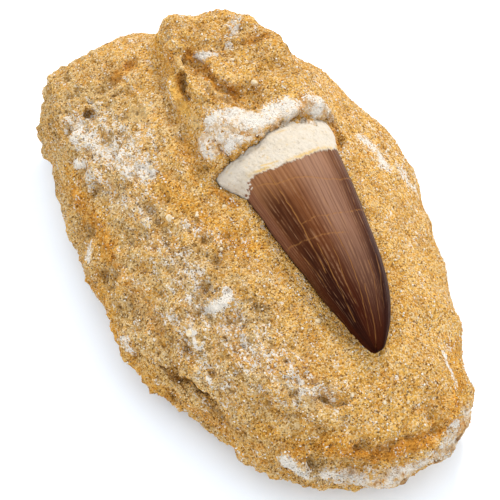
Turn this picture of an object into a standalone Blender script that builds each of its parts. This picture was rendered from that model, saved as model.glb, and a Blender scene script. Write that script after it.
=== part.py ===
"""A fossil reptile tooth lying in its block of sandstone.

Two solids, in metres, +Z up. The stone stands on its flat underside, its origin is the middle of that
face, its long axis is Y, and the tooth lies in the top with its tip towards -Y.
Every dimension below is in millimetres.
"""

import math

import bmesh
import bpy
import numpy as np
from mathutils import Matrix, Vector, noise

MM = 0.001
TINY = 1e-9

# ---------------------------------------------------------------- stone, driving dimensions
# A broken lump is a ball pushed out to flat faces with rounded edges. Each face has the compass angle
# of its normal (0 is +X, 90 is +Y), its tilt above the horizon, and its distance from the middle.
STONE_MIDDLE = (0.0, 0.0, 14.0)
STONE_FACES = {
    "bed_of_the_tooth": (250, 86, 15.6),
    "left_shoulder": (180, 72, 18.6),
    "left_slope": (184, 50, 23.6),
    "lower_left_slope": (206, 46, 30.5),
    "right_slope": (356, 55, 24.6),
    "lower_right_slope": (338, 50, 25.2),
    "nose_slope": (264, 55, 36.6),
    "tail_slope": (95, 52, 43.2),
    "tail_left_slope": (146, 46, 43.8),
    "left_wall": (171, 12, 36.6),
    "lower_left_wall": (197, 6, 37.5),
    "nose_left_wall": (221, 4, 48.3),
    "nose_wall": (256, 0, 59.3),
    "nose_right_wall": (312, 6, 50.6),
    "lower_right_wall": (341, 12, 35.7),
    "right_wall": (12, 14, 38.1),
    "tail_right_wall": (52, 14, 45.4),
    "tail_wall": (82, 14, 61.0),
    "tail_left_wall": (147, 12, 55.0),
    "left_undercut": (184, -50, 29.4),
    "nose_left_undercut": (218, -46, 37.4),
    "nose_undercut": (260, -43, 50.0),
    "nose_right_undercut": (312, -46, 42.3),
    "right_undercut": (350, -50, 26.1),
    "tail_right_undercut": (50, -48, 36.3),
    "tail_undercut": (95, -48, 42.4),
    "underside": (0, -90, 16.0),
}
STONE_SHARPNESS = 26

HUMP_MIDDLE = (8.0, 28.0, 24.0)
HUMP_FACES = {
    "crest": (10, 84, 12.6),
    "left_wall": (172, 14, 14.4),
    "front_left_wall": (184, 25, 16.8),
    "crust_left_slope": (212, 52, 20.6),
    "lip": (263, 14, 22.9),
    "right_flank": (350, 36, 16.0),
    "tail_right_flank": (25, 35, 17.5),
    "tail_flank": (100, 57, 19.3),
    "tail_wall": (108, 25, 22.4),
    "tail_inside": (88, 0, 22.0),
    "right_inside": (5, 0, 17.0),
    "buried": (0, -90, 14.0),
}
HUMP_SHARPNESS = 26

CRUST_MIDDLE = (4.0, 15.0, 30.0)
CRUST_FACES = {
    "top": (60, 84, 8.0),
    "left_slope": (212, 56, 8.5),
    "left_end": (190, 10, 12.4),
    "left_back": (158, 24, 10.4),
    "lip": (276, 5, 6.9),
    "right_slope": (352, 35, 15.8),
    "back": (90, 30, 10.0),
    "buried": (0, -90, 6.0),
}
CRUST_SHARPNESS = 24

CORNER_MIDDLE = (13.0, -44.0, 9.0)
CORNER_FACES = {
    "top": (320, 80, 4.5),
    "right": (350, 8, 9.5),
    "front": (295, 6, 10.0),
    "left": (200, 10, 9.0),
    "back": (90, 20, 10.0),
    "undercut": (320, -50, 8.0),
    "buried": (0, -90, 9.0),
}
CORNER_SHARPNESS = 10

LUMP_SUBDIVISIONS = 6
CLAY_VOXEL = 0.9
STONE_TRIANGLES = 7600

# ---------------------------------------------------------------- tooth, driving dimensions
# Cross sections along the tooth: place on Y, left edge, right edge, height of the crest, and how
# square the left shoulder is (2 is an ellipse).
TOOTH_SECTIONS = (
    (20.0, -4.5, 16.0, 32.6, 1.5),
    (15.0, -6.6, 19.0, 34.4, 1.4),
    (10.0, -8.4, 20.0, 35.9, 1.35),
    (5.8, -7.3, 19.5, 36.6, 1.5),
    (2.0, -4.2, 18.3, 36.9, 2.0),
    (-3.0, -3.6, 17.4, 36.6, 2.4),
    (-9.0, -3.3, 16.3, 36.0, 2.4),
    (-15.0, -2.9, 14.9, 35.2, 2.4),
    (-21.0, -2.4, 13.6, 34.3, 2.4),
    (-27.0, -2.2, 12.0, 33.4, 2.4),
    (-33.0, -1.6, 9.7, 32.4, 2.4),
    (-38.0, -1.4, 7.0, 31.3, 2.3),
    (-42.5, -0.6, 3.4, 30.2, 2.2),
)
TOOTH_BED_HEIGHT = 29.0
TOOTH_BURIED_SHARE = 0.85
RIGHT_SQUARENESS = 2.15
BURIED_SQUARENESS = 2.0
BLUNTNESS = 6
TOOTH_SIDES = 40
TOOTH_RINGS = 26
BED_GAP = 0.3

GROUND_SIZE = (120.0, 180.0, 30.0)
STONE_COLOUR = (0.52, 0.33, 0.12)
STONE_ROUGHNESS = 0.95
ENAMEL_COLOUR = (0.11, 0.045, 0.022)
ENAMEL_ROUGHNESS = 0.4

# ---------------------------------------------------------------- weathering
# Swells: wavelength, and how far they move the surface either way.
SWELLS = ((21.0, 1.3), (9.5, 0.8), (4.6, 0.4))
# Scoops where flakes came away: their spacing, and their depth. The pattern that makes them runs from
# about 0 to 1, and its middle is taken off so that the block keeps its size.
SCOOPS = ((12.0, 1.3), (6.0, 0.6))
SCOOP_MIDDLE = 0.5

# Marks pressed into the skin or raised from it: a path of points on the skin, half the mark's width,
# and its depth, which is negative where the mark stands up.
MARK_EDGE = 4
MARKS = {
    "groove_behind_the_fin": (((-0.3, 34, 39), (0.6, 26, 38.5), (2.4, 21.9, 37.9), (6, 19, 37.5)),
                              3.0, 3.0),
    "fin": (((-1.6, 38, 38), (-2.6, 30, 38), (-2.4, 25, 38), (-0.4, 20, 38)), 1.8, -1.1),
    "hole_in_the_lobes": (((-4.1, 30.5, 36), (-4.8, 27.5, 35.5)), 1.7, 2.4),
    "gap_beside_the_root": (((20.5, 6.5, 31), (19.8, 3, 30.6)), 1.5, 2.2),
    "crack_under_the_ridge": (((-33, -19.5, 15), (-31.3, -26, 16), (-28.8, -30.5, 17)), 1.5, 2.4),
    "lip_of_the_ridge": (((-31.6, -19, 19), (-29.3, -27, 19.5), (-26, -35, 19.5), (-23, -41, 19)),
                         1.8, -0.9),
    "hollow_over_the_nose": (((-15, -52.5, 16.3), (-9.8, -55.4, 15), (-4, -57, 14.5), (3, -57.6, 14.8)),
                             2.2, 3.4),
    "ledge_of_the_nose": (((-19, -51, 13), (-12.9, -56.3, 12), (-6.9, -59.3, 11), (1.5, -60.4, 12),
                           (8, -59.8, 12.4), (14.3, -56.4, 12)), 2.2, -1.6),
    "chalk_knob": (((-21.3, -47.6, 15.2), (-19.2, -50.2, 15.4)), 2.6, -1.6),
    "notch_in_the_nose": (((-14.8, -56, 11.5), (-12.5, -57.8, 11)), 1.9, 2.2),
    "pit_left_high": (((-21.8, 39.4, 26.8), (-21.9, 37.9, 27)), 1.3, 1.7),
    "pit_far_left": (((-22.2, 50.6, 24.9), (-21.2, 51.2, 25.3)), 1.2, 1.4),
    "pit_back": (((-10.2, 43.9, 29.7), (-8.8, 44.4, 30)), 1.6, 1.6),
    "pit_middle": (((-14.4, 42.7, 28.4), (-13, 43.3, 28.7)), 1.5, 1.1),
    "pit_right": (((22.8, 21.9, 32), (23.5, 21.3, 32)), 1.3, 1.5),
    "strata": (((-27.6, 43.3, 23), (-20.9, 40.2, 26.8), (-13.3, 38.2, 28.8)), 0.9, 0.6),
    "step_left": (((-21, -20, 24.6), (-17, -22.8, 26), (-14, -22.4, 27)), 1.3, 0.9),
    "step_low": (((-15, -38.5, 24.8), (-12, -40, 25.3), (-10, -40, 25.5)), 1.3, 0.8),
    "step_lowest": (((-12.8, -44.8, 24.1), (-9.5, -46.4, 24.4), (-7, -46.3, 24.8)), 1.4, 0.9),
}


def face_normal(compass, tilt):
    """The direction that a face looks in."""
    a, t = math.radians(compass), math.radians(tilt)
    return np.array([math.cos(a) * math.cos(t), math.sin(a) * math.cos(t), math.sin(t)])


def reach_of_faces(directions, faces, sharpness):
    """How far each direction runs before it leaves a body with these faces and rounded edges."""
    reach = np.zeros(len(directions))
    for compass, tilt, distance in faces.values():
        facing = np.clip(directions @ face_normal(compass, tilt), 0, None)
        reach += (facing / distance) ** sharpness
    return reach ** (-1 / sharpness)


def broken_lump(clay, middle, faces, sharpness):
    """Add to the clay a ball pushed out to the faces of a broken piece of stone."""
    made = bmesh.ops.create_icosphere(clay, subdivisions=LUMP_SUBDIVISIONS, radius=1)["verts"]
    directions = np.array([v.co.normalized() for v in made])
    reach = reach_of_faces(directions, faces, sharpness)
    for vertex, direction, distance in zip(made, directions, reach):
        vertex.co = (Vector(middle) + Vector(direction) * float(distance)) * MM


def mesh_object(name, maker):
    """A new object from what the bmesh maker holds."""
    mesh = bpy.data.meshes.new(name)
    maker.to_mesh(mesh)
    maker.free()
    obj = bpy.data.objects.new(name, mesh)
    bpy.context.scene.collection.objects.link(obj)
    return obj


def fuse(obj, voxel):
    """Melt overlapping lumps into one closed skin of even faces."""
    remesh = obj.modifiers.new("fuse", "REMESH")
    remesh.mode = "VOXEL"
    remesh.voxel_size = voxel * MM
    fused = bpy.data.meshes.new_from_object(obj.evaluated_get(bpy.context.evaluated_depsgraph_get()))
    obj.modifiers.remove(remesh)
    obj.data = fused


def distance_to_path(points, path):
    """Distance of each point to a line of straight runs."""
    nearest = np.full(len(points), np.inf)
    for start, end in zip(np.array(path[:-1], float), np.array(path[1:], float)):
        run = end - start
        along = np.clip((points - start) @ run / (run @ run), 0, 1)
        nearest = np.minimum(nearest, np.linalg.norm(points - start - along[:, None] * run, axis=1))
    return nearest


def weather_and_carve(obj):
    """Swell, scoop and mark the surface along its own normals."""
    mesh = obj.data
    points = np.array([v.co for v in mesh.vertices]) / MM
    normals = np.array([v.normal for v in mesh.vertices])
    from_middle = points - STONE_MIDDLE
    push = np.zeros(len(points))
    for wavelength, height in SWELLS:
        push += height * np.array([noise.noise(Vector(p / wavelength)) for p in from_middle])
    for spacing, depth in SCOOPS:
        nearest = np.array([noise.voronoi(Vector(p / spacing))[0][0] for p in from_middle])
        push += depth * (nearest - SCOOP_MIDDLE)
    for path, half_width, depth in MARKS.values():
        push -= depth * np.exp(-(distance_to_path(points, path) / half_width) ** MARK_EDGE)
    points += normals * push[:, None]
    mesh.vertices.foreach_set("co", (points * MM).astype(np.float32).ravel())
    mesh.update()


def smooth_between(place, stations):
    """Values at a place between stations, on a curve that runs through all of them."""
    rows = np.array(sorted(stations), float)
    places = np.clip(place, rows[0, 0], rows[-1, 0])
    slopes = np.gradient(rows[:, 1:], rows[:, 0], axis=0)
    i = np.clip(np.searchsorted(rows[:, 0], places) - 1, 0, len(rows) - 2)
    gap = rows[i + 1, 0] - rows[i, 0]
    t = ((places - rows[i, 0]) / gap)[:, None]
    gap = gap[:, None]
    start, end = rows[i, 1:], rows[i + 1, 1:]
    return (start * (1 + 2 * t) * (1 - t) ** 2 + end * t * t * (3 - 2 * t)
            + slopes[i] * gap * t * (1 - t) ** 2 - slopes[i + 1] * gap * t * t * (1 - t))


def tooth_surface(directions):
    """Send each direction of a ball, whose poles are on Y, to the surface of the tooth."""
    first, last = TOOTH_SECTIONS[0][0], TOOTH_SECTIONS[-1][0]
    along = directions[:, 1]
    place = (first + last) / 2 + along * (first - last) / 2
    left, right, crest, squareness = smooth_between(place, TOOTH_SECTIONS).T
    fullness = np.clip(1 - np.abs(along) ** BLUNTNESS, 0, 1) ** (1 / BLUNTNESS)
    side, up = directions[:, 0], directions[:, 2]
    ring = np.maximum(np.hypot(side, up), TINY)
    side, up = side / ring, up / ring
    power = np.where(side < 0, squareness, RIGHT_SQUARENESS)
    power = np.where(up < 0, BURIED_SQUARENESS, power)
    reach = (np.abs(side) ** power + np.abs(up) ** power) ** (-1 / power) * fullness
    rise = crest - TOOTH_BED_HEIGHT
    height = np.where(up > 0, rise, rise * TOOTH_BURIED_SHARE)
    x = (left + right) / 2 + side * reach * (right - left) / 2
    return np.stack([x, place, TOOTH_BED_HEIGHT + up * reach * height], axis=1)


def make_tooth():
    """Crown and root, grown as one piece."""
    ball = bmesh.new()
    bmesh.ops.create_uvsphere(ball, u_segments=TOOTH_SIDES, v_segments=TOOTH_RINGS, radius=1)
    bmesh.ops.rotate(ball, verts=ball.verts, matrix=Matrix.Rotation(math.pi / 2, 3, "X"))
    surface = tooth_surface(np.array([v.co.normalized() for v in ball.verts]))
    for vertex, point in zip(ball.verts, surface):
        vertex.co = Vector(point) * MM
    return mesh_object("tooth", ball)


def make_tooth_bed(tooth):
    """The tooth again, swollen by the gap that keeps the two solids apart."""
    swollen = bmesh.new()
    swollen.from_mesh(tooth.data)
    swollen.normal_update()
    for vertex in swollen.verts:
        vertex.co += vertex.normal * BED_GAP * MM
    return mesh_object("tooth_bed", swollen)


def make_ground():
    """A slab whose top is the plane that the stone rests on."""
    slab = bmesh.new()
    bmesh.ops.create_cube(slab, size=1)
    bmesh.ops.scale(slab, verts=slab.verts, vec=Vector(GROUND_SIZE) * MM)
    bmesh.ops.translate(slab, verts=slab.verts, vec=(0, 0, -GROUND_SIZE[2] / 2 * MM))
    return mesh_object("ground", slab)


def make_stone():
    """The block, its hump over the root and its broken corner, weathered as one piece."""
    clay = bmesh.new()
    broken_lump(clay, STONE_MIDDLE, STONE_FACES, STONE_SHARPNESS)
    broken_lump(clay, HUMP_MIDDLE, HUMP_FACES, HUMP_SHARPNESS)
    broken_lump(clay, CRUST_MIDDLE, CRUST_FACES, CRUST_SHARPNESS)
    broken_lump(clay, CORNER_MIDDLE, CORNER_FACES, CORNER_SHARPNESS)
    stone = mesh_object("stone", clay)
    fuse(stone, CLAY_VOXEL)
    weather_and_carve(stone)
    return stone


def cut(obj, cutter):
    """Take the cutter's space out of the object."""
    boolean = obj.modifiers.new(cutter.name, "BOOLEAN")
    boolean.operation = "DIFFERENCE"
    boolean.solver = "EXACT"
    boolean.object = cutter
    cutter.hide_render = True
    cutter.display_type = "WIRE"


def simplify(obj, triangles):
    """Keep about this many triangles, most of them where the surface bends."""
    faces = sum(len(polygon.vertices) - 2 for polygon in obj.data.polygons)
    decimate = obj.modifiers.new("facets", "DECIMATE")
    decimate.ratio = triangles / faces


def finish(name, colour, roughness):
    """A plain finish."""
    material = bpy.data.materials.new(name)
    material.use_nodes = True
    shader = material.node_tree.nodes["Principled BSDF"]
    shader.inputs["Base Color"].default_value = (*colour, 1)
    shader.inputs["Roughness"].default_value = roughness
    shader.inputs["Metallic"].default_value = 0
    return material


def gather(name, objects):
    """Put objects in a collection of their own."""
    collection = bpy.data.collections.new(name)
    bpy.context.scene.collection.children.link(collection)
    for obj in objects:
        bpy.context.scene.collection.objects.unlink(obj)
        collection.objects.link(obj)


for old in list(bpy.data.objects):
    bpy.data.objects.remove(old)

stone = make_stone()
tooth = make_tooth()
tooth_bed = make_tooth_bed(tooth)
ground = make_ground()

simplify(stone, STONE_TRIANGLES)
cut(stone, ground)
cut(stone, tooth_bed)

stone.data.materials.append(finish("sandstone", STONE_COLOUR, STONE_ROUGHNESS))
tooth.data.materials.append(finish("enamel", ENAMEL_COLOUR, ENAMEL_ROUGHNESS))
tooth.data.shade_smooth()

gather("fossil_tooth", [stone, tooth])
gather("cutters", [tooth_bed, ground])
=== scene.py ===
# %% [markdown]
# # A fossil tooth in its block of sandstone
# The specimen is two pieces: a block of golden sandstone, and a reptile's tooth that lies in it. The
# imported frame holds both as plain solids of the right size. This lesson gives each a finer skin with the
# same size and place, and then the finish: sand, chalk, rust stains, cracked enamel and crumbly root.

# %% Load the frame
import math

import bmesh
import bpy
import numpy as np
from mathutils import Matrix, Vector, noise
from mathutils.bvhtree import BVHTree


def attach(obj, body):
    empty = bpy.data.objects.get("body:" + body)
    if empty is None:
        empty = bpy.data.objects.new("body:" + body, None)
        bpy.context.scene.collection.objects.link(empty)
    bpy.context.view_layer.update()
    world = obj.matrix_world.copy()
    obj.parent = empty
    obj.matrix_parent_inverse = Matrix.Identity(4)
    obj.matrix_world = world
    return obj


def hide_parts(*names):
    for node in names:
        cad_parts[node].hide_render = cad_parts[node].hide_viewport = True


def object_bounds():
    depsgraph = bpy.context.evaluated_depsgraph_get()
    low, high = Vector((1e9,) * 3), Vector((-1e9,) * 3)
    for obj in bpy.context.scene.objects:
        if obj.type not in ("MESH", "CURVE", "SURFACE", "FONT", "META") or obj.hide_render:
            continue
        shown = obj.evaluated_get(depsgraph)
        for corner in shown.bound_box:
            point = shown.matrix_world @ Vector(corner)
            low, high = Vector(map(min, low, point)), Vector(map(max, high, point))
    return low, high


MM = 0.001
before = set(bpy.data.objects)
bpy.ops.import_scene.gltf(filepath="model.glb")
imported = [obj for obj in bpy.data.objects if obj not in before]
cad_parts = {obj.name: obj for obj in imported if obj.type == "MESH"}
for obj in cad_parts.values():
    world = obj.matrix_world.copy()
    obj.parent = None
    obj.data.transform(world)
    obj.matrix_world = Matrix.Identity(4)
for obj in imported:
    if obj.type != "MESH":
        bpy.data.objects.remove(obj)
cad_low, cad_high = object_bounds()
print("nodes", sorted(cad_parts), "box in mm", cad_low / MM, cad_high / MM)

# %% [markdown]
# ## The camera
# The block is seen from above its nose, a little from the left, as a collector looks at a specimen on
# the table. An orthographic camera would make it look like a drawing, and a short lens would shrink the
# far end, so the lens is long and stands far away.

# %% Camera
AIM = Vector((-4.5, -2.0, 15.0)) * MM
CAMERA_AZIMUTH = math.radians(-28)
CAMERA_ELEVATION = math.radians(55)
LENS = 100
SENSOR = 36
FIELD_WIDTH = 105 * MM


def direction(azimuth, elevation):
    """From the object towards a viewer or a lamp. Azimuth 0 is in front, on -Y."""
    level = math.cos(elevation)
    return Vector((math.sin(azimuth) * level, -math.cos(azimuth) * level, math.sin(elevation)))


camera_data = bpy.data.cameras.new("camera")
camera_data.lens = LENS
camera_data.sensor_width = SENSOR
camera_data.clip_start = 10 * MM
camera = bpy.data.objects.new("camera", camera_data)
bpy.context.scene.collection.objects.link(camera)
bpy.context.scene.camera = camera
towards_camera = direction(CAMERA_AZIMUTH, CAMERA_ELEVATION)
camera.location = AIM + towards_camera * (FIELD_WIDTH * LENS / SENSOR)
camera.rotation_mode = "QUATERNION"
camera.rotation_quaternion = towards_camera.to_track_quat("Z", "Y")
print("camera at", camera.location)

# %% [markdown]
# ## The light
# Such a specimen is shown on white paper under soft light. Several lamps and screens would do it, but
# fewer are easier to judge. So the world itself is a bright tent, and one soft lamp behind the right
# shoulder of the block draws the highlight down the crown and drops a soft shadow to the front left.

# %% Tent and lamp
LAMP_AZIMUTH = math.radians(135)
LAMP_ELEVATION = math.radians(47)
LAMP_DISTANCE = 0.45
LAMP_SIZE = 0.09
LAMP_POWER = 1.15
LAMP_COLOUR = (1.0, 0.97, 0.92)
TENT_COLOUR = (0.93, 0.96, 1.0)
TENT_STRENGTH = 1.5

bpy.context.scene.view_settings.view_transform = "Standard"
world = bpy.data.worlds.new("light_tent")
world.use_nodes = True
world.node_tree.nodes["Background"].inputs["Color"].default_value = (*TENT_COLOUR, 1)
world.node_tree.nodes["Background"].inputs["Strength"].default_value = TENT_STRENGTH
bpy.context.scene.world = world

lamp_data = bpy.data.lights.new("soft_lamp", "AREA")
lamp_data.size = LAMP_SIZE
lamp_data.energy = LAMP_POWER
lamp_data.color = LAMP_COLOUR
lamp = bpy.data.objects.new("soft_lamp", lamp_data)
bpy.context.scene.collection.objects.link(lamp)
towards_lamp = direction(LAMP_AZIMUTH, LAMP_ELEVATION)
lamp.location = AIM + towards_lamp * LAMP_DISTANCE
lamp.rotation_mode = "QUATERNION"
lamp.rotation_quaternion = towards_lamp.to_track_quat("Z", "Y")
print("lamp at", lamp.location)

# %% [markdown]
# ## The paper
# The paper catches the soft shadow of the block. A bent backdrop would hide the horizon, but the block is
# seen from above, so one large flat sheet is enough. It is a little blue, because the lamp is warm.

# %% Paper
PAPER_SIZE = 6.0
PAPER_COLOUR = (0.885, 0.94, 1.0)

maker = bmesh.new()
bmesh.ops.create_grid(maker, x_segments=1, y_segments=1, size=PAPER_SIZE / 2)
paper_mesh = bpy.data.meshes.new("paper")
maker.to_mesh(paper_mesh)
maker.free()
paper = bpy.data.objects.new("paper", paper_mesh)
bpy.context.scene.collection.objects.link(paper)
paper_finish = bpy.data.materials.new("paper")
paper_finish.use_nodes = True
paper_shader = paper_finish.node_tree.nodes["Principled BSDF"]
paper_shader.inputs["Base Color"].default_value = (*PAPER_COLOUR, 1)
paper_shader.inputs["Roughness"].default_value = 1.0
paper_shader.inputs["Specular IOR Level"].default_value = 0.0
paper_mesh.materials.append(paper_finish)
print("paper", PAPER_SIZE, "m wide")

# %% [markdown]
# ## A finer skin
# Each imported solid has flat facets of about 2 mm, and sandstone has none. Subdividing would keep the long
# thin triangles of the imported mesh, so a copy is merged and poured into small even cells with a voxel
# remesh instead. Rubbing takes the facets away, and fine relief can then be worked into it.

# %% Fine copies
MERGE = 1e-6


def frozen(obj):
    """Replace the object's mesh by what its modifiers make of it."""
    made = bpy.data.meshes.new_from_object(obj.evaluated_get(bpy.context.evaluated_depsgraph_get()))
    obj.modifiers.clear()
    obj.data = made


def object_of(name, mesh):
    """Put a mesh into the scene, as an object of this name."""
    obj = bpy.data.objects.new(name, mesh)
    bpy.context.scene.collection.objects.link(obj)
    return obj


def fine_copy(node, name, cell):
    """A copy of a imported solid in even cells."""
    copy = bmesh.new()
    copy.from_mesh(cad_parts[node].data)
    bmesh.ops.remove_doubles(copy, verts=copy.verts, dist=MERGE)
    mesh = bpy.data.meshes.new(name)
    copy.to_mesh(mesh)
    copy.free()
    obj = object_of(name, mesh)
    remesh = obj.modifiers.new("even_cells", "REMESH")
    remesh.mode = "VOXEL"
    remesh.voxel_size = cell * MM
    frozen(obj)
    print(name, len(obj.data.polygons), "cells")
    return obj


# %% [markdown]
# ## Points as arrays
# A skin has tens of thousands of points. Moving them one by one is slow, so they are read into arrays of
# millimetres, worked on all at once, and put back.

# %% Points in and out
def points_of(obj):
    """The object's points, in millimetres."""
    points = np.empty(len(obj.data.vertices) * 3, np.float32)
    obj.data.vertices.foreach_get("co", points)
    return points.reshape(-1, 3).astype(float) / MM


def normals_of(obj):
    """The direction that each point faces."""
    normals = np.empty(len(obj.data.vertices) * 3, np.float32)
    obj.data.vertex_normals.foreach_get("vector", normals)
    return normals.reshape(-1, 3).astype(float)


def put_points(obj, points):
    """Move the object's points to these places."""
    obj.data.vertices.foreach_set("co", (points * MM).astype(np.float32).ravel())
    obj.data.update()


def keep_value(obj, name, values):
    """Store one number a point for the material."""
    layer = obj.data.attributes.new(name, "FLOAT", "POINT")
    layer.data.foreach_set("value", values.astype(np.float32))


RUB_FACTOR = 0.5


def rub(obj, rounds, keep=None):
    """Smooth the points, apart from those that are to keep their place."""
    skin = bmesh.new()
    skin.from_mesh(obj.data)
    loose = [v for v in skin.verts if keep is None or not keep[v.index]]
    for _ in range(rounds):
        bmesh.ops.smooth_vert(skin, verts=loose, factor=RUB_FACTOR, use_axis_x=True, use_axis_y=True,
                              use_axis_z=True)
    skin.to_mesh(obj.data)
    skin.free()


print("points in the packed stone", len(points_of(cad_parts["stone"])))

# %% [markdown]
# ## Patterns and paths
# Stone and bone are rough in ways that no one would model point by point. Relief and stains are made from
# three things instead: clouds, which swell and sink softly; cells, whose middles make pits; and paths,
# which are short lists of points on the skin that a crack or a stain follows.

# %% Clouds, cells and paths
def clouds(points, wavelength, shift=0.0):
    """Soft noise from about -1 to 1."""
    return np.array([noise.noise(Vector(p)) for p in points / wavelength + shift])


def add_clouds(value, points, layers):
    """A value with clouds of several sizes laid on it, each with its wavelength and height."""
    for wavelength, height in layers:
        value = value + height * clouds(points, wavelength)
    return value


def cells(points, spacing, shift=0.0):
    """Distance to the nearest of some scattered middles, as a share of their spacing."""
    return np.array([noise.voronoi(Vector(p))[0][0] for p in points / spacing + shift])


def ease(value, low, high):
    """0 at low, 1 at high, and a soft step between them."""
    t = np.clip((value - low) / (high - low), 0, 1)
    return t * t * (3 - 2 * t)


def off_path(points, path):
    """Distance of each point to a path of straight runs."""
    path = np.array(path, float)
    if len(path) == 1:
        return np.linalg.norm(points - path[0], axis=1)
    nearest = np.full(len(points), np.inf)
    for start, end in zip(path[:-1], path[1:]):
        run = end - start
        along = np.clip((points - start) @ run / (run @ run), 0, 1)
        nearest = np.minimum(nearest, np.linalg.norm(points - start - along[:, None] * run, axis=1))
    return nearest


# Three clouds that have nothing to do with each other, one for each axis.
FRAY_SHIFTS = (0, 31, 57)


def frayed(points, reach, wavelength=2.0):
    """The points, each moved a little, so that a stroke's edge frays."""
    return points + reach * np.stack([clouds(points, wavelength, shift) for shift in FRAY_SHIFTS], axis=1)


def stroke(points, path, half_width, edge=2):
    """1 on the path, fading to 0 outside its half width. A higher edge fades faster."""
    return np.exp(-((off_path(points, path) / half_width) ** edge))


along_a_line = np.array([(place, 0.3, 0.7) for place in range(6)])
print("clouds 3 mm wide, along a line:", clouds(along_a_line, 3.0).round(2))

# %% [markdown]
# ## Sections of the tooth
# The tooth is a cone that leans and tapers, and its left and right sides aren't alike. It could be spun
# from one profile, but then they would be. So it is given as cross sections along Y, from the root to the
# tip, which smooth curves join.

# %% Sections of the tooth
# Place on Y, left edge, right edge, height of the crest, squareness of the left shoulder. In millimetres.
TOOTH_SECTIONS = (
    (20.0, -4.5, 16.0, 32.6, 1.5),
    (15.0, -6.2, 19.0, 34.4, 1.4),
    (10.0, -7.4, 20.0, 35.9, 1.35),
    (5.8, -6.4, 19.5, 36.6, 1.5),
    (2.0, -4.2, 18.3, 36.9, 2.0),
    (-3.0, -3.6, 17.4, 36.6, 2.4),
    (-9.0, -3.3, 16.3, 36.0, 2.4),
    (-15.0, -2.9, 14.9, 35.2, 2.4),
    (-21.0, -2.4, 13.6, 34.3, 2.4),
    (-27.0, -2.2, 12.0, 33.4, 2.4),
    (-33.0, -1.6, 9.7, 32.4, 2.4),
    (-38.0, -1.4, 7.0, 31.3, 2.3),
    (-42.5, -0.6, 3.4, 30.2, 2.2),
)


def smooth_between(place, table):
    """Values from a table of rows that start with their place, joined by smooth curves."""
    table = np.array(table)[::-1]
    known, values = table[:, 0], table[:, 1:]
    slopes = np.gradient(values, known, axis=0)
    i = np.clip(np.searchsorted(known, place) - 1, 0, len(known) - 2)
    run = known[i + 1] - known[i]
    t = ((place - known[i]) / run)[:, None]
    run = run[:, None]
    return (values[i] * (2 * t**3 - 3 * t**2 + 1) + slopes[i] * run * (t**3 - 2 * t**2 + t)
            + values[i + 1] * (3 * t**2 - 2 * t**3) + slopes[i + 1] * run * (t**3 - t**2))


half_way = smooth_between(np.array([-20.0]), TOOTH_SECTIONS)[0]
print("the tooth 20 mm below the root: left, right, crest, squareness", half_way.round(2))

# %% [markdown]
# ## The tooth's skin
# Crown and root grew as one piece, so they are one skin. A remesh would give it cells that ignore the way
# it grew, so a ball whose poles lie on Y is laid on the sections, with most of its columns on the side
# that shows. Each point keeps its turn round the tooth, from -1 at the left edge over 0 at the crest to 1
# at the right edge: striae and cracks run along lines of equal turn, and so they all meet at the tip, as
# they do on a real crown.

# %% Tooth skin
TOOTH_BED_HEIGHT = 29.0
TOOTH_BURIED_SHARE = 0.85
RIGHT_SQUARENESS = 2.15
BURIED_SQUARENESS = 2.0
BLUNTNESS = 6
CROWDING_POWER = 4
TOOTH_COLUMNS = 300
TOOTH_ROWS = 316
ROW_EVENNESS = 0.15
TOP_CROWDING = 0.5


def tooth_surface(directions):
    """Lay a ball on the tooth. Gives the places, and each point's turn round the tooth."""
    first, last = TOOTH_SECTIONS[0][0], TOOTH_SECTIONS[-1][0]
    polar = np.arccos(np.clip(directions[:, 1], -1, 1))
    along = np.cos(polar + ROW_EVENNESS * np.sin(2 * polar))
    turn = np.arctan2(directions[:, 0], directions[:, 2])
    turn = turn * (TOP_CROWDING + (1 - TOP_CROWDING) * (turn / np.pi) ** CROWDING_POWER)
    place = (first + last) / 2 + along * (first - last) / 2
    left, right, crest, squareness = smooth_between(place, TOOTH_SECTIONS).T
    fullness = np.clip(1 - np.abs(along) ** BLUNTNESS, 0, 1) ** (1 / BLUNTNESS)
    side, up = np.sin(turn), np.cos(turn)
    power = np.where(side < 0, squareness, RIGHT_SQUARENESS)
    power = np.where(up < 0, BURIED_SQUARENESS, power)
    reach = (np.abs(side) ** power + np.abs(up) ** power) ** (-1 / power) * fullness
    rise = crest - TOOTH_BED_HEIGHT
    height = np.where(up > 0, rise, rise * TOOTH_BURIED_SHARE)
    x = (left + right) / 2 + side * reach * (right - left) / 2
    return np.stack([x, place, TOOTH_BED_HEIGHT + up * reach * height], axis=1), turn / (np.pi / 2)


def make_tooth_skin():
    """The tooth's skin before any wear, and each point's turn."""
    ball = bmesh.new()
    bmesh.ops.create_uvsphere(ball, u_segments=TOOTH_COLUMNS, v_segments=TOOTH_ROWS, radius=1)
    directions = np.array([v.co.normalized() for v in ball.verts])[:, (0, 2, 1)] * (1, 1, -1)
    places, turn = tooth_surface(directions)
    for vertex, place in zip(ball.verts, places):
        vertex.co = place * MM
    # A closed skin that faces outward has a volume above zero.
    if ball.calc_volume(signed=True) < 0:
        bmesh.ops.reverse_faces(ball, faces=ball.faces)
    mesh = bpy.data.meshes.new("tooth_skin")
    ball.to_mesh(mesh)
    ball.free()
    return object_of("tooth_skin", mesh), turn


tooth, turn = make_tooth_skin()
tooth.data.shade_smooth()
print("tooth faces", len(tooth.data.polygons))

# %% [markdown]
# ## Where the enamel ends
# Enamel covers the crown. It stops at a feathered line on the root, which is bone. The line is drawn as
# seen from above, and noise that is drawn out along the tooth frays it. The same mask parts the relief and
# the colours later, so that the two can't drift apart.

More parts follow.
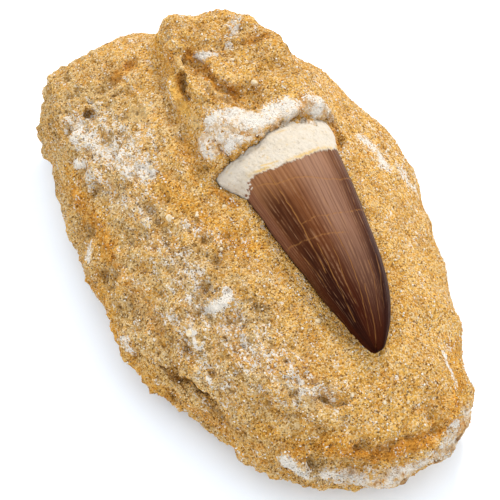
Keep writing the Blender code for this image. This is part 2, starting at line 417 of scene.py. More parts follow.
# %% Edge of the enamel
# From left to right, seen from above.
ENAMEL_EDGE = ((-6, -1.4), (-4.6, -0.6), (-4.1, 1), (-3.6, 0.9), (-2.9, 1.9), (-1.6, 2), (0.3, 0.9),
               (1.5, 0.5), (2.8, 0), (4.6, -0.2), (7, -0.4), (9.9, -0.3), (12.9, -0.1), (15.3, 0.2),
               (17.5, 1.3), (19.5, 2.6))
CRUMBLED_CORNER = ((-4.4, 2.2, 31), (-4.2, -0.2, 30.5), (-3.4, 0.6, 32.6))
CORNER_HALF_WIDTH = 1.6
# How far the corner has crumbled back, and the clouds of its broken line.
CORNER_LOSS = 0.7
CORNER_CLOUDS = ((0.6, 2.6),)
EDGE_SOFTNESS = 0.12
# The fringe's clouds are drawn out along the tooth. Each has its wavelength and its height.
FRINGE_STRETCH = 0.12
FRINGE = ((1.3, 0.3), (0.42, 0.45), (0.2, 0.2))

points = points_of(tooth)
normals = normals_of(tooth)
flat_x = points[:, 0]
along_y = points[:, 1]
level = np.zeros(len(points))
edge_x, edge_y = np.array(ENAMEL_EDGE).T
fringe = np.stack([flat_x, along_y * FRINGE_STRETCH, level], axis=1)
edge = add_clouds(np.interp(flat_x, edge_x, edge_y), fringe, FRINGE)
corner = stroke(points, CRUMBLED_CORNER, CORNER_HALF_WIDTH)
edge -= corner * add_clouds(CORNER_LOSS, points, CORNER_CLOUDS)
enamel = ease(edge - along_y, -EDGE_SOFTNESS, EDGE_SOFTNESS)
print("enamel covers", round(float(enamel.mean()), 2), "of the skin")

# %% [markdown]
# ## Cracks in the enamel
# Enamel is hard and brittle. It has split along the crown many times and across it three times, and clay
# has filled the splits. Cutting them with thin solids would tear a skin as fine as this one, so each is a
# path. How full of clay a point is then sets both the groove's depth and its colour.

# %% Cracks
# Cracks seen from above: the path, half the width, and how plainly it shows.
CRACKS = {
    "main": (((0.7, 0.2), (0.7, -3.2), (0.8, -8.7), (0.8, -13.3), (0.4, -18.1), (0.3, -21.6), (0, -24.5)),
             0.13, 1.0),
    "left_of_main": (((-0.8, -1.6), (-0.6, -6.9)), 0.1, 0.7),
    "left_low": (((-1.7, -19.2), (-1.2, -23.5), (-1.1, -26.9)), 0.1, 0.5),
    "second": (((1.5, -18.6), (1.2, -23.1), (0.9, -25.5), (0.7, -28.4), (0.3, -32.1), (0, -35.9)),
               0.12, 0.85),
    "third": (((3.9, -19), (3.4, -23.2), (2.6, -26.6), (2.2, -28.5), (1.9, -30.5), (1.8, -33)), 0.1, 0.7),
    "fourth": (((5.9, -14.2), (5.7, -19.5), (5.4, -24.2), (4.8, -27.5), (3.7, -31.7), (2.2, -36.1),
                (1.1, -39.6)), 0.11, 0.85),
    "fifth": (((5.3, -30.2), (4, -34.4), (2.9, -38.1), (1.2, -41.9)), 0.12, 0.9),
    "sixth": (((8.7, -26), (8, -29.1), (6.9, -31.6), (4.8, -36.4), (4, -38.8)), 0.1, 0.6),
    "seventh": (((11.1, -24.8), (9.8, -28.5), (7.3, -33.7), (6.5, -35.8)), 0.1, 0.55),
    "early": (((3.3, -3), (3.6, -9), (3.9, -13.6)), 0.09, 0.35),
    "early_right": (((6.8, -4), (7.2, -10), (7.5, -14.6)), 0.09, 0.3),
    "upper_cross": (((-3, 0.2), (-0.9, -1.4), (0.7, -3), (2.1, -3.5), (4.2, -3.8), (6.7, -4.8), (8.6, -6),
                     (10.4, -6.9), (13.4, -7.5), (16, -6.6), (17.6, -5.3)), 0.15, 0.75),
    "middle_cross": (((0.8, -13.3), (2.5, -13.6), (3.9, -13.4), (6, -14.3), (8.1, -14.6), (10.9, -15.1),
                      (14, -14.4), (16.2, -13)), 0.12, 0.8),
    "lower_cross": (((-2.9, -14.9), (-1.6, -16.1), (0.1, -16.7), (1.4, -17.2), (3, -17.4), (5.5, -18.3),
                     (8, -19.2)), 0.14, 0.6),
}
CRACK_SHARE = 0.7
CRACK_EDGE = 3
# Cracks wander: how far, and the wavelengths sideways and along.
WANDER_REACH = 0.14
WANDER = (1.7, 1.1)
# Here and there the clay has fallen out.
LEAST_CLAY = 0.35
CLAY_PATCH = 0.9
CLAY_PATCH_STRETCH = (1, 0.5, 0)
CLAY_PATCH_EDGE = (-0.45, 0.1)
# Towards the tip the cracks thin out, between these places in mm from the root.
THINNER = (26, 38)
LEAST_WIDTH = 0.5
BED_FADE = 1.5
CLAY_SHOWS = 0.4

wander = np.stack([clouds(points * (0, 1, 0), WANDER[0]), clouds(points * (1, 0, 0), WANDER[1]), level],
                  axis=1)
flat = (points + WANDER_REACH * wander) * (1, 1, 0)
filled = np.zeros(len(points))
for path, half_width, plainness in CRACKS.values():
    path = [(x, y, 0) for x, y in path]
    filled = np.maximum(filled, plainness * stroke(flat, path, CRACK_SHARE * half_width, CRACK_EDGE))
clay_patches = clouds(points * CLAY_PATCH_STRETCH, CLAY_PATCH)
clay_left = LEAST_CLAY + (1 - LEAST_CLAY) * ease(clay_patches, *CLAY_PATCH_EDGE)
above_the_bed = ease(points[:, 2], TOOTH_BED_HEIGHT - BED_FADE, TOOTH_BED_HEIGHT)
thinner = 1 - (1 - LEAST_WIDTH) * ease(-along_y, *THINNER)
filled *= clay_left * above_the_bed * enamel * thinner
print("clay shows on", round(float((filled > CLAY_SHOWS).mean()), 3), "of the skin")

# %% [markdown]
# ## Wear on the tooth
# The crown is finely striated and nearly smooth. The root is bone: rough, pitted, and raised a little so
# that it meets the stone all round. Striae could be cut one by one, but there are hundreds, so they are
# noise that is long along the tooth and short round it. The tip and the left edge have lost small chips.

# %% Relief of the tooth
# A stria is this much of a turn wide and this many mm long. A finer layer lies over the coarse one.
STRIA_TURN = 0.024
STRIA_LENGTH = 9.0
STRIA_LAYERS = ((1.0, 1.0), (0.45, 0.6))
STRIA_HEIGHT = 0.05
CRACK_DEPTH = 0.12
CROWN_SWELL = (4.0, 0.06)
BONE_RELIEF = ((1.8, 0.2), (0.8, 0.13), (0.42, 0.14), (5.0, 0.3))
# Pits in the bone: how far apart they lie, the radius as a share of that, their strength, and a shift,
# so that the small ones don't repeat the pattern of the large ones.
BONE_PITS = ((1.7, 0.13, 1.0, 0), (0.8, 0.18, 0.5, 3))
PIT_DEPTH = 0.14
ROOT_RISE = 0.14
# Chips: the path, half the width, the depth, and how steep the edge is.
CHIPS = {
    "notch_in_the_tip": (((0.9, -42.8, 29.5), (1.2, -41.7, 30.1)), 0.3, 0.4, 2),
    "left_edge_low": (((-0.9, -38.6, 28.4), (-1, -37.4, 28.4)), 0.5, 0.25, 2),
    "left_edge_high": (((-1.1, -35, 28.2), (-1.3, -34.2, 28.2)), 0.5, 0.2, 2),
}

striae = np.stack([turn / STRIA_TURN, along_y / STRIA_LENGTH, level], axis=1)
stria = add_clouds(0, striae, STRIA_LAYERS)
swell_length, swell_height = CROWN_SWELL
push = enamel * (STRIA_HEIGHT * stria + swell_height * clouds(points, swell_length) - CRACK_DEPTH * filled)
pits = np.zeros(len(points))
for spacing, radius, strength, shift in BONE_PITS:
    pits += strength * np.exp(-(cells(points, spacing, shift) / radius) ** 2)
push += (1 - enamel) * (add_clouds(0, points, BONE_RELIEF) - PIT_DEPTH * pits + ROOT_RISE)
for path, half_width, depth, steepness in CHIPS.values():
    push -= depth * stroke(points, path, half_width, steepness)
points += normals * push[:, None]
put_points(tooth, points)
print("relief of the tooth, in mm, from", round(push.min(), 2), "to", round(push.max(), 2))

# %% [markdown]
# ## Ochre on the root
# Iron from the sand has stained the bone where water crept in: in a thin band along the enamel, under the
# white crust, and in one short streak. It could be a second finish with its own faces, but a stain has no
# height and no clear edge, so it is only a value on the points.

# %% Ochre
UNDER_THE_CRUST = ((-8.2, 6.2, 29.4), (-6.7, 6.8, 30.6), (-4.6, 7.2, 32.3), (-0.7, 7.6, 35), (5, 8, 36.8),
                   (8, 7.9, 36.6), (10.5, 7.6, 36.8), (15, 7.4, 36.2))
SHORT_STAIN = ((0.5, 2.5, 35.5), (1.7, 1.9, 35.9), (3.5, 1.2, 36.5))
# Beside the enamel: from the left end to the right end, with the distance from the enamel at each.
ALONG_THE_ENAMEL = ((-2, 0.55, 0), (19, 0.42, 0))
ALONG_HALF_WIDTH = 0.4
ALONG_PATCH = 2.2
ALONG_PATCH_EDGE = (-0.5, 0.3)
STREAK_HALF_WIDTH = 0.22
CRUST_STAIN_HALF_WIDTH = 0.35
CRUST_STAIN_EDGE = 3
CRUST_STAIN_SHARE = 0.8

beside_the_enamel = np.stack([fringe[:, 0], points[:, 1] - edge, level], axis=1)
patchy = ease(clouds(points, ALONG_PATCH), *ALONG_PATCH_EDGE)
ochre = stroke(beside_the_enamel, ALONG_THE_ENAMEL, ALONG_HALF_WIDTH) * patchy
ochre = np.maximum(ochre, stroke(points, SHORT_STAIN, STREAK_HALF_WIDTH))
under_the_crust = stroke(points, UNDER_THE_CRUST, CRUST_STAIN_HALF_WIDTH, CRUST_STAIN_EDGE)
ochre = np.maximum(ochre, CRUST_STAIN_SHARE * under_the_crust)
for name, values in (("turn", turn), ("enamel", enamel), ("filled", filled), ("pits", pits),
                     ("ochre", ochre)):
    keep_value(tooth, name, values)
print("ochre covers", round(float((ochre > 0.5).mean()), 3), "of the skin")

# %% [markdown]
# ## The stone in even cells
# The block's flat facets go by a remesh and rubbing. Only its edge against the tooth keeps its place,
# because rubbing would open the bed into a wide gap. A tree of the tooth's faces tells how far each point
# of the stone is from the tooth, and on which side of its skin.

# %% Even cells of stone
STONE_CELL = 0.39
STONE_RUBS = 9
HUG_REACH = 1.1


def tree_of(obj):
    """The object's faces in millimetres, sorted so that the nearest one is found fast."""
    return BVHTree.FromPolygons([v.co / MM for v in obj.data.vertices],
                                [tuple(p.vertices) for p in obj.data.polygons])


def from_tooth(points, reach):
    """Nearest place on the tooth to each point, and how far outside it the point is, up to a reach."""
    place = points.copy()
    gap = np.full(len(points), reach)
    for i, p in enumerate(points):
        found = tooth_tree.find_nearest(Vector(p), reach)
        if found[0] is not None:
            place[i] = found[0]
            outside = (Vector(p) - found[0]).dot(found[1]) > 0
            gap[i] = found[3] if outside else -found[3]
    return place, gap


stone = fine_copy("stone", "stone_skin", STONE_CELL)
tooth_tree = tree_of(tooth)
_, gap = from_tooth(points_of(stone), 2 * HUG_REACH)
rub(stone, STONE_RUBS, keep=np.abs(gap) < HUG_REACH)
print("points beside the tooth", int((np.abs(gap) < HUG_REACH).sum()), "of", len(gap))

# %% [markdown]
# ## Lumps, flutes and pits
# Sandstone breaks into lumps of several sizes at once. The left third was worn longest and is the
# roughest, and the top round the tooth was cleaned by a preparator and is the smoothest. Sculpting all
# that by hand would take days, so clouds of falling size are laid on the skin, and the wear of the place
# sets how strongly they work.

# %% Lumps, flutes and pits
# Lumps and flutes: the wavelength and the height. Flutes are drawn out from front to back.
LUMPS = ((7.5, 0.55), (3.6, 0.5), (1.9, 0.34), (0.95, 0.22))
FLUTES = ((3.4, 1.05), (1.5, 0.36))
FLUTE_STRETCH = (1, 0.22, 1)
FLUTE_SHIFT = 4
# Pits: how far apart they lie, the radius as a share of that, and the depth.
PITS = ((6.0, 0.26, 1.0), (2.6, 0.24, 0.6), (1.4, 0.3, 0.34))
# Where each part of the stone starts, and where it is fully reached.
LEFT_FROM = (4, 18)
HUMP_HEIGHT = (31, 34)
HUMP_FROM = (14, 20)
NOSE_FROM = (46, 56)
STEEP_FACING = (-0.6, 0.2)
# How much of the relief each place gets.
WORN_EVERYWHERE = 0.5
WORN_LEFT = 0.9
WORN_STEEP = 0.25
WORN_NOSE = 0.45
WORN_HUMP = 0.85
# Close to the tooth the stone was cleaned and has the least.
CLEAN_REACH = (0.5, 2 * HUG_REACH)
LEAST_RELIEF = 0.25

points = points_of(stone)
normals = normals_of(stone)
left = ease(-points[:, 0], *LEFT_FROM)
hump = ease(points[:, 2], *HUMP_HEIGHT) * ease(points[:, 1], *HUMP_FROM)
nose = ease(-points[:, 1], *NOSE_FROM)
steep = ease(-normals[:, 2], *STEEP_FACING)
worn = WORN_EVERYWHERE + WORN_LEFT * left + WORN_STEEP * steep + WORN_NOSE * nose + WORN_HUMP * hump
push = np.zeros(len(points))
for wavelength, height in LUMPS:
    push += height * clouds(points, wavelength, shift=wavelength) * worn
for wavelength, height in FLUTES:
    push -= height * np.abs(clouds(points * FLUTE_STRETCH, wavelength, shift=FLUTE_SHIFT)) * left
for spacing, radius, depth in PITS:
    push -= depth * np.exp(-(cells(points, spacing) / radius) ** 2) * worn
push *= LEAST_RELIEF + (1 - LEAST_RELIEF) * ease(gap, *CLEAN_REACH)
print("relief of the stone, in mm, from", round(push.min(), 2), "to", round(push.max(), 2))

# %% [markdown]
# ## The crumbly crust
# A white crust of lime and sand lies over the root and on the broken face of the nose. It could be a
# piece of its own, but it grew on the stone and has no clear edge. So it is painted as strokes that fray,
# and where they lie the skin gets a crumbly relief.

# %% Crust
FRAY = 0.75
# How far the crust's edge frays, and the wavelength.
CRUST_FRAY = (1.8, 4.0)
CRUST_EDGE = 3
CRUMBS = ((1.3, 0.32), (0.7, 0.24))
CRUST_RISE = 0.1
# Each stroke: its path on the skin, half its width, and its strength.
CRUST = {
    "left": (((-5, 13.6, 35), (-2.4, 13.4, 37), (0.4, 12.9, 38)), 4.4, 1.0),
    "middle": (((0.4, 12.4, 38), (3.6, 11.4, 38.2), (7, 11.2, 37.5), (10.8, 11.2, 37.8)), 3.1, 1.0),
    "right": (((10.8, 11, 37.8), (15.2, 10.6, 37.2), (18, 10.8, 35.4), (21.4, 10.8, 33)), 2.5, 1.0),
    "right_low": (((20.8, 10.4, 31.5), (22.4, 8.4, 29.2), (22.2, 5.6, 28.4)), 1.5, 0.8),
    "over_the_root": (((5, 9, 36.8), (8, 8.4, 36.6), (11, 8, 36.7), (15, 7.8, 36)), 1.5, 1.0),
    "broken_face": (((-13, -56.5, 11), (-8.6, -60, 11.6), (-2, -61.5, 11.8), (5, -61.8, 12.6),
                     (11, -58.5, 13), (16, -56, 11.5)), 3.4, 0.85),
}


def painted(points, strokes, edge=2):
    """The strongest of some strokes at each point."""
    value = np.zeros(len(points))
    for path, half_width, strength in strokes.values():
        value = np.maximum(value, strength * stroke(points, path, half_width, edge))
    return value


crumbly = painted(frayed(points, *CRUST_FRAY), CRUST, CRUST_EDGE)
push += crumbly * (add_clouds(0, points, CRUMBS) + CRUST_RISE)
print("crust covers", round(float((crumbly > 0.5).mean()), 3), "of the skin")

# %% [markdown]
# ## Marks on the stone
# The stone has features that no noise would place: the crack over the root, the groove in the hump, the
# undercut on the left, the stepped chips and the ledge of the nose. Cutters would leave sharp clean edges
# that broken sand doesn't have, so each is a path with a frayed edge that is pressed into the skin.

# %% Marks
# Each mark: its path on the skin, half its width, its depth, and how steep its edge is. A ridge is a mark
# with a depth below zero.
STONE_MARKS = {
    "crack_over_the_root": (((-8.2, 6.6, 29.4), (-6.7, 7.2, 30.6), (-4.6, 7.6, 32.3), (-0.7, 8, 35),
                             (5, 8.4, 36.8), (8, 8.3, 36.4), (10.5, 8.8, 36.9),
                             (15, 8.9, 35.9)), 0.4, 1.0, 2),
    "chip_beside_the_root": (((-5.3, 13.4, 35.3), (-4.5, 11, 35.4), (-4.1, 8.6, 34),
                              (-4.4, 7.2, 32.3)), 0.35, 0.9, 2),
    "over_the_root": (((9.5, 8.2, 36.8), (12.5, 8.4, 36.9), (15.5, 8.5, 36.4),
                       (17.4, 8.2, 35)), 1.4, 2.0, 3),
    "gap_beside_the_root": (((20.6, 10.4, 31), (22, 8.6, 28.9), (22, 6.6, 28),
                             (20.8, 4.6, 28.2)), 0.9, 1.9, 2),
    "groove_in_the_hump": (((1.0, 35.6, 36.3), (1.9, 30.1, 35.8), (2.6, 26.7, 35.7),
                            (3.2, 24.2, 35.2)), 0.75, 1.3, 2),
    "end_of_the_groove": (((3.2, 24.2, 35.2), (5.5, 21.4, 35.1)), 0.45, 0.8, 2),
    "fin_ridge": (((-2, 35.2, 36.8), (-0.8, 32, 36.4), (0, 28.4, 35.8), (1.2, 24.7, 35.3),
                   (3.2, 21.6, 34.8)), 0.75, -1.4, 2),
    "hole_in_the_lobes": (((-3.4, 32.4, 34.6), (-3.8, 29.5, 34), (-4, 27.5, 34)), 0.8, 1.4, 2),
    "left_lobe": (((-5, 33.5, 32.6), (-5.7, 29, 32.2), (-6, 24.5, 32)), 1.2, -1.5, 2),
    "foot_of_the_hump": (((-5, 39, 31.6), (-6.6, 33, 31.4), (-8, 27, 31), (-8.7, 22.1, 31),
                          (-8.6, 16.2, 30.6), (-8.9, 10.6, 30.2)), 1.6, 0.8, 2),
    "undercut": (((-33.4, -17.8, 13.6), (-32.6, -19.2, 13.9), (-30.9, -21.5, 14.3), (-29.6, -25, 15),
                  (-27.9, -28.5, 15.5)), 0.36, 2.0, 2),
    "lip_over_the_undercut": (((-32.4, -18.6, 15.4), (-30.4, -22, 15.9), (-29, -25.6, 16.6),
                               (-27.4, -28.8, 17), (-25.4, -34.5, 17.4), (-22.6, -41, 17.6)), 1.0, -1.1, 2),
    "below_the_lip": (((-27.2, -30.4, 15.4), (-25.6, -34.5, 15.7), (-23, -41, 16)), 0.8, 0.9, 2),
    "pit_left_high": (((-21.5, 40.2, 25.6),), 0.8, 1.3, 2),
    "pit_far_left": (((-21.6, 51.2, 24.7),), 0.7, 1.2, 2),
    "pit_back": (((-9.8, 44.9, 28.6), (-8.2, 45.5, 29)), 0.8, 1.0, 2),
    "pit_middle": (((-14.4, 43.1, 27.5), (-12.9, 43.5, 27.9)), 0.8, 0.8, 2),
    "pit_right": (((23.4, 22.7, 31.1), (23.9, 22.2, 30.8)), 0.7, 1.0, 2),
    "seam_high": (((-29.5, 52.2, 14.8), (-22.6, 42.6, 26), (-13.2, 39.1, 28.7)), 0.4, 0.55, 2),
    "seam_high_edge": (((-29.5, 50.4, 15.2), (-22.6, 41, 26), (-13.2, 37.6, 28.8)), 0.7, -0.7, 2),
    "seam_low": (((-30.4, 46.8, 13.2), (-22.6, 36.6, 25.7), (-12.8, 31.6, 29.5)), 0.4, 0.4, 2),
    "step_left": (((-19.8, -21, 26.2), (-17.6, -22.6, 26.9), (-15.6, -23.6, 27.3),
                   (-13, -26, 27.8)), 0.5, 0.9, 2),
    "step_middle": (((-15.5, -30.8, 27.2), (-14.9, -33.4, 27.3), (-14.7, -35.2, 27.4)), 0.5, 0.8, 2),
    "step_low": (((-15.6, -38, 26.5), (-14.1, -39.6, 26.6), (-11.5, -41.4, 26.8)), 0.45, 0.9, 2),
    "step_lowest": (((-12.3, -44.8, 25.5), (-10.2, -46.4, 25.1), (-8.3, -47.4, 24.7)), 0.5, 1.0, 2),
    "step_high": (((-24.5, -4, 24), (-22, -9, 25), (-20, -14, 26)), 0.6, 0.7, 2),
    "nose_ledge": (((-9.8, -54.5, 20), (-6.8, -56.1, 19.5), (-3.9, -56.6, 19.6), (0.1, -57.4, 19.4),
                    (5.9, -57.9, 18.3), (9.9, -57.6, 17)), 0.9, 1.2, 2),
    "nose_brow": (((-9.8, -53, 21.2), (-3.9, -54.9, 20.9), (2, -55.4, 20.4), (8, -55.2, 19)), 0.8, -0.4, 2),
    "nose_notch": (((-15.3, -55.6, 13.1), (-14.2, -56.2, 12.4)), 0.7, 1.2, 2),
    "nose_face_edge": (((-12.8, -55, 16.4), (-8.4, -58.1, 16.4), (-3.9, -59.6, 16.4), (1.2, -60.2, 16.8),
                        (9.5, -58, 18), (14, -54, 18)), 0.8, -0.9, 2),
}
# A mark is deeper in some places than in others.
UNEVEN_MIDDLE = 0.9
UNEVEN = ((1.5, 0.6),)
UNEVEN_RANGE = (0.35, 1.4)

rough_places = frayed(points, FRAY)
uneven = np.clip(add_clouds(UNEVEN_MIDDLE, points, UNEVEN), *UNEVEN_RANGE)
for path, half_width, depth, steepness in STONE_MARKS.values():
    push -= depth * stroke(rough_places, path, half_width, steepness) * uneven
print(len(STONE_MARKS), "marks, relief in mm from", round(push.min(), 2), "to", round(push.max(), 2))

# %% [markdown]
# ## Swells of the whole form
# Between the cross sections of the plain solid the real stone bulges and sinks a little. These swells are
# the broadest marks of all. Their edges stay soft, and they fade at the foot, so that the stone
# stands flat on the paper.

# %% Swells
# Each swell: its path, half its width, and its rise in mm.
SWELLS = {
    "shoulder_of_the_hump": (((1.5, 46.5, 34.5), (0.5, 42, 35), (0, 38, 35)), 3.0, 1.8),
    "wall_of_the_hump": (((-4.5, 46, 31.5), (-6, 40, 31), (-6.4, 34, 31)), 2.2, -1.2),
    "end_of_the_crust": (((18.5, 11.5, 35), (21, 10.4, 32.8)), 2.6, 1.5),
    "right_of_the_hump": (((16, 39.5, 34), (19.5, 36, 33)), 4.0, 1.3),
    "back_of_the_tail": (((-13, 54, 22), (-6, 54, 22)), 4.5, 1.9),
    "right_corner_of_the_nose": (((17, -54, 12), (20, -50, 12)), 3.5, 0.7),
    "back_of_the_hump": (((16, 48, 32.5), (11, 48.5, 33)), 4.5, -1.4),
    "right_back": (((34, 20, 21), (31, 28, 24), (24, 31.5, 32)), 5.0, -1.4),
    "left_wall": (((-33, 42, 6), (-36, 27, 7), (-38, 11, 8.5), (-37.6, 4, 8)), 6.0, -1.4),
    "left_low": (((-36.5, -8, 8), (-35.5, -16, 7.5)), 4.5, 1.7),
    "left_corner_of_the_nose": (((-26, -41, 8), (-23, -46, 8), (-20, -49.5, 7)), 4.5, 2.0),
    "nose_left": (((-14, -56, 8), (-9.6, -60, 10)), 3.0, -1.0),
    "nose_right": (((4, -62.5, 11.6), (10, -61, 12)), 4.5, -1.9),
    "right_low": (((23, -44, 13), (28, -33, 13)), 5.0, -1.4),
    "right_middle": (((36, -8, 14),), 4.0, -1.3),
}
FOOT_HEIGHT = (0.2, 2.5)

swell = np.zeros(len(points))
for path, half_width, rise in SWELLS.values():
    swell += rise * stroke(points, path, half_width)
above_ground = ease(points[:, 2], *FOOT_HEIGHT)
points += normals * ((push + swell) * above_ground)[:, None]
print("swells, in mm, from", round(swell.min(), 2), "to", round(swell.max(), 2))

# %% [markdown]
# ## The bed of the tooth
# The sand was packed round the tooth, so the stone follows it closely, and only a dark crack over the
# root and a gap beside it stand open. Cutting the tooth out of the stone would leave thin slivers along
# the seam. So each point near the tooth is drawn to a small distance from the tooth instead, on the side
# where it already is. One flap of stone over the root is drawn just below the bone, which it would
# otherwise cover as a thin flake.

# %% Hug the tooth
SNUG = 0.06
LOOSENESS = 0.1
LOOSE_WAVELENGTH = 1.1
# Marks that stand open: how wide they open, half the width of the stroke, and how steep its edge is.
OPEN_MARKS = {"crack_over_the_root": (0.1, 1.2, 4), "gap_beside_the_root": (1.0, 1.0, 2)}
FLAP = ((9.4, 8, 36.8), (11.8, 7.8, 36.8), (13.5, 7, 36.6), (15.2, 5.8, 36), (16.4, 4.6, 35))
FLAP_HALF_WIDTH = 1.5
FLAP_EDGE = 3
FLAP_SHARE = 0.3
FLAP_REACH = 2.6
BURIED = 0.4

flap = stroke(points, FLAP, FLAP_HALF_WIDTH, FLAP_EDGE) > FLAP_SHARE
place, gap = from_tooth(points, FLAP_REACH)
near = np.abs(gap) < np.where(flap, FLAP_REACH, HUG_REACH)
opened = np.zeros(len(points))
for name, (opening, half_width, steepness) in OPEN_MARKS.items():
    opened += opening * stroke(points, STONE_MARKS[name][0], half_width, steepness)
wanted = np.minimum(np.abs(gap), SNUG + LOOSENESS * (1 + clouds(points, LOOSE_WAVELENGTH)) + opened)
wanted = np.where(flap, -BURIED, np.copysign(wanted, gap))
away = (points - place) / np.where(np.abs(gap) < MERGE, MERGE, gap)[:, None]
points = np.where(near[:, None], place + away * wanted[:, None], points)
print("points that hug the tooth", int(near.sum()), "of which buried", int((near & flap).sum()))

# %% [markdown]
# ## Fewer triangles on the flat
# Even cells cost as many triangles on flat ground as on a broken edge. A coarser remesh would blur the
# edges, so a Decimate modifier takes about half of the triangles away, the flattest first. The skin is
# trimmed to the box of the solids, so that the specimen keeps its size.

# %% Fewer triangles
STONE_KEPT = 0.515
SLACK = 0.003

box_low = np.array(cad_low) / MM
box_high = np.array(cad_high) / MM
put_points(stone, np.clip(points, box_low, box_high))
keep_value(stone, "height", push)
fewer = stone.modifiers.new("fewer_on_the_flat", "DECIMATE")
fewer.ratio = STONE_KEPT
frozen(stone)
put_points(stone, np.clip(points_of(stone), box_low + SLACK, box_high - SLACK))
stone.data.shade_smooth()
print("stone triangles", sum(len(p.vertices) - 2 for p in stone.data.polygons))

# %% [markdown]
# ## Chalk on the stone
# Chalky lime fills some hollows and bleaches others to a haze. A picture wrapped round the block would
# need unwrapping and would blur, so every stain is painted as a value on the points, along paths on the
# skin. The finish breaks its edges up later, grain by grain.

# %% Chalk
# Each stain, here and below: its path on the skin, half its width, and its strength.
CHALK = {
    "right_edge": (((25, 27, 30), (31, 14, 24), (35, 2, 20), (37, -9, 15)), 3.0, 0.16),
    "tail_left": (((-25.5, 39, 24.8), (-24.9, 34, 25), (-24, 29, 25.6), (-21, 23, 27.3),
                   (-18.7, 17.5, 27.9)), 3.6, 0.55),
    "tail_wide": (((-22.5, 38, 26.3), (-21, 31, 27.3), (-17.5, 25, 28.4)), 4.5, 0.36),
    "tail_chip": (((-26.1, 39.2, 24.4), (-25.3, 37.4, 24.9)), 1.3, 1.0),
    "tail_low_edge": (((-28.9, 31.5, 21.9), (-27.9, 27.5, 22.3), (-26, 24.2, 23.5)), 1.4, 0.75),
    "tail_low": (((-27.4, 24.5, 22.6), (-24.5, 16, 24), (-22.5, 8.5, 25)), 3.0, 0.3),
    "shoulder_fleck": (((-17.4, 17.5, 28.4), (-17.7, 15.6, 28.3)), 0.8, 1.0),
    "above_the_slope": (((-17.1, 2.2, 27.4), (-13.4, -3.9, 28.7), (-9.7, -7.5, 28.9)), 1.8, 0.32),
    "slope_high": (((-24, 2.5, 24.4), (-22.5, -3.5, 25.3), (-20, -9, 26.3)), 3.6, 0.3),
    "bright_spot": (((-22.3, -17.7, 26.1), (-19, -18.1, 27.5), (-17.6, -17.2, 28)), 1.3, 1.1),
    "haze": (((-23, -8, 25.3), (-22, -18, 25.6), (-18.5, -30, 25.8), (-14, -42, 25.6)), 5.5, 0.3),
    "haze_low": (((-27, -12, 22), (-27.5, -24, 20.5), (-26, -31, 20.5)), 4.0, 0.22),
    "net_long": (((-26.2, -18.5, 22.6), (-27.2, -22, 21.5), (-26.6, -25, 21.2),
                  (-27.4, -28.5, 19.7)), 0.6, 1.1),
    "net_branch": (((-29.3, -21.5, 19.6), (-27.4, -22.6, 21.2), (-25.3, -22, 22.8)), 0.45, 1.0),
    "net_low": (((-28.8, -25.6, 19.4), (-26.9, -25.4, 21), (-25, -26.8, 22)), 0.45, 1.0),
    "chip_pale": (((-27.1, -18.3, 22.1), (-25.7, -19.4, 22.9)), 0.6, 1.1),
    "step_white": (((-19.5, -28, 25.8), (-15.8, -33.6, 26.6)), 1.1, 0.5),
    "low_white": (((-14.6, -41.5, 25.8), (-10.2, -45.2, 25.6)), 1.5, 0.6),
    "knob": (((-21.6, -49.4, 15.4), (-21, -50.6, 14.2), (-20.2, -52, 13.4)), 1.8, 1.25),
    "nose_face_left": (((-18.8, -52.4, 15.2), (-14, -55.6, 13.7), (-8.6, -59, 14.6)), 1.6, 0.7),
    "nose_face": (((-8.6, -59, 14.4), (-3.2, -60.4, 14.4), (1.7, -61.3, 14.8),
                   (8.5, -59.5, 15.8)), 1.2, 0.6),
    "nose_face_right": (((8.5, -59.5, 15.8), (12.6, -57, 15.4)), 1.4, 0.6),
    "right_high": (((27.9, 6.5, 23.7), (28.5, 2.5, 23.2), (28.7, -0.7, 22.6)), 2.0, 0.6),
    "right_low": (((31.9, -1.9, 20.4), (34, -5.1, 17.5)), 1.7, 0.6),
    "nose_streak": (((15.7, -45.1, 20.1), (15.1, -49.8, 18.9)), 0.6, 1.0),
    "hump_groove": (((2.4, 33.9, 36.3), (4.8, 33, 36.6)), 1.1, 0.95),
    "hump_back": (((14.5, 40.2, 36), (12, 37, 36.2)), 1.6, 0.55),
    "hump_spot": (((9.5, 34.3, 36.1),), 0.9, 0.9),
    "lobe_edge": (((-5.9, 31.5, 31.9), (-6.4, 27.5, 31.7)), 0.8, 0.7),
    "left_wall_high": (((-33.9, 15.6, 16.2), (-35.6, 11.5, 15.2)), 0.8, 1.0),
    "left_wall_low": (((-36.2, -8.4, 12.4), (-36.2, -10, 11)), 1.1, 0.9),
    "crust_left": (((-4.4, 17.4, 36.1), (-2.3, 17, 37.6), (-0.3, 16, 38), (2.4, 13.8, 38.4)), 1.8, 0.7),
    "crust_middle": (((3.7, 11.4, 38.2), (5.9, 12.4, 37.8), (8.7, 13, 37.2), (12.2, 12.6, 37.6)), 1.9, 1.1),
    "crust_right": (((17.4, 12.6, 36.2), (18, 11.2, 35.8), (17.4, 10, 35.8)), 1.5, 1.0),
    "crust_low": (((-1.3, 10.2, 37.1), (-2.7, 10.2, 36.4), (-3.6, 9.6, 35.3)), 1.2, 0.85),
}


def keep_stain(name, strokes):
    """Paint a stain on the stone, store it, and tell how much it covers."""
    value = painted(rough_places, strokes)
    keep_value(stone, name, value)
    print(name, "covers", round(float((value > 0.5).mean()), 3), "of the skin")
    return value


points = points_of(stone)
normals = normals_of(stone)
rough_places = frayed(points, FRAY)
keep_stain("chalk", CHALK)

# %% [markdown]
# ## Rust on the stone
# Iron has rusted where water stood: in the groove of the hump, in pits and below ledges. Rust could be a
# layer of its own, but it only stains, so the finish will tint the sand with it, where chalk hides the
# sand.

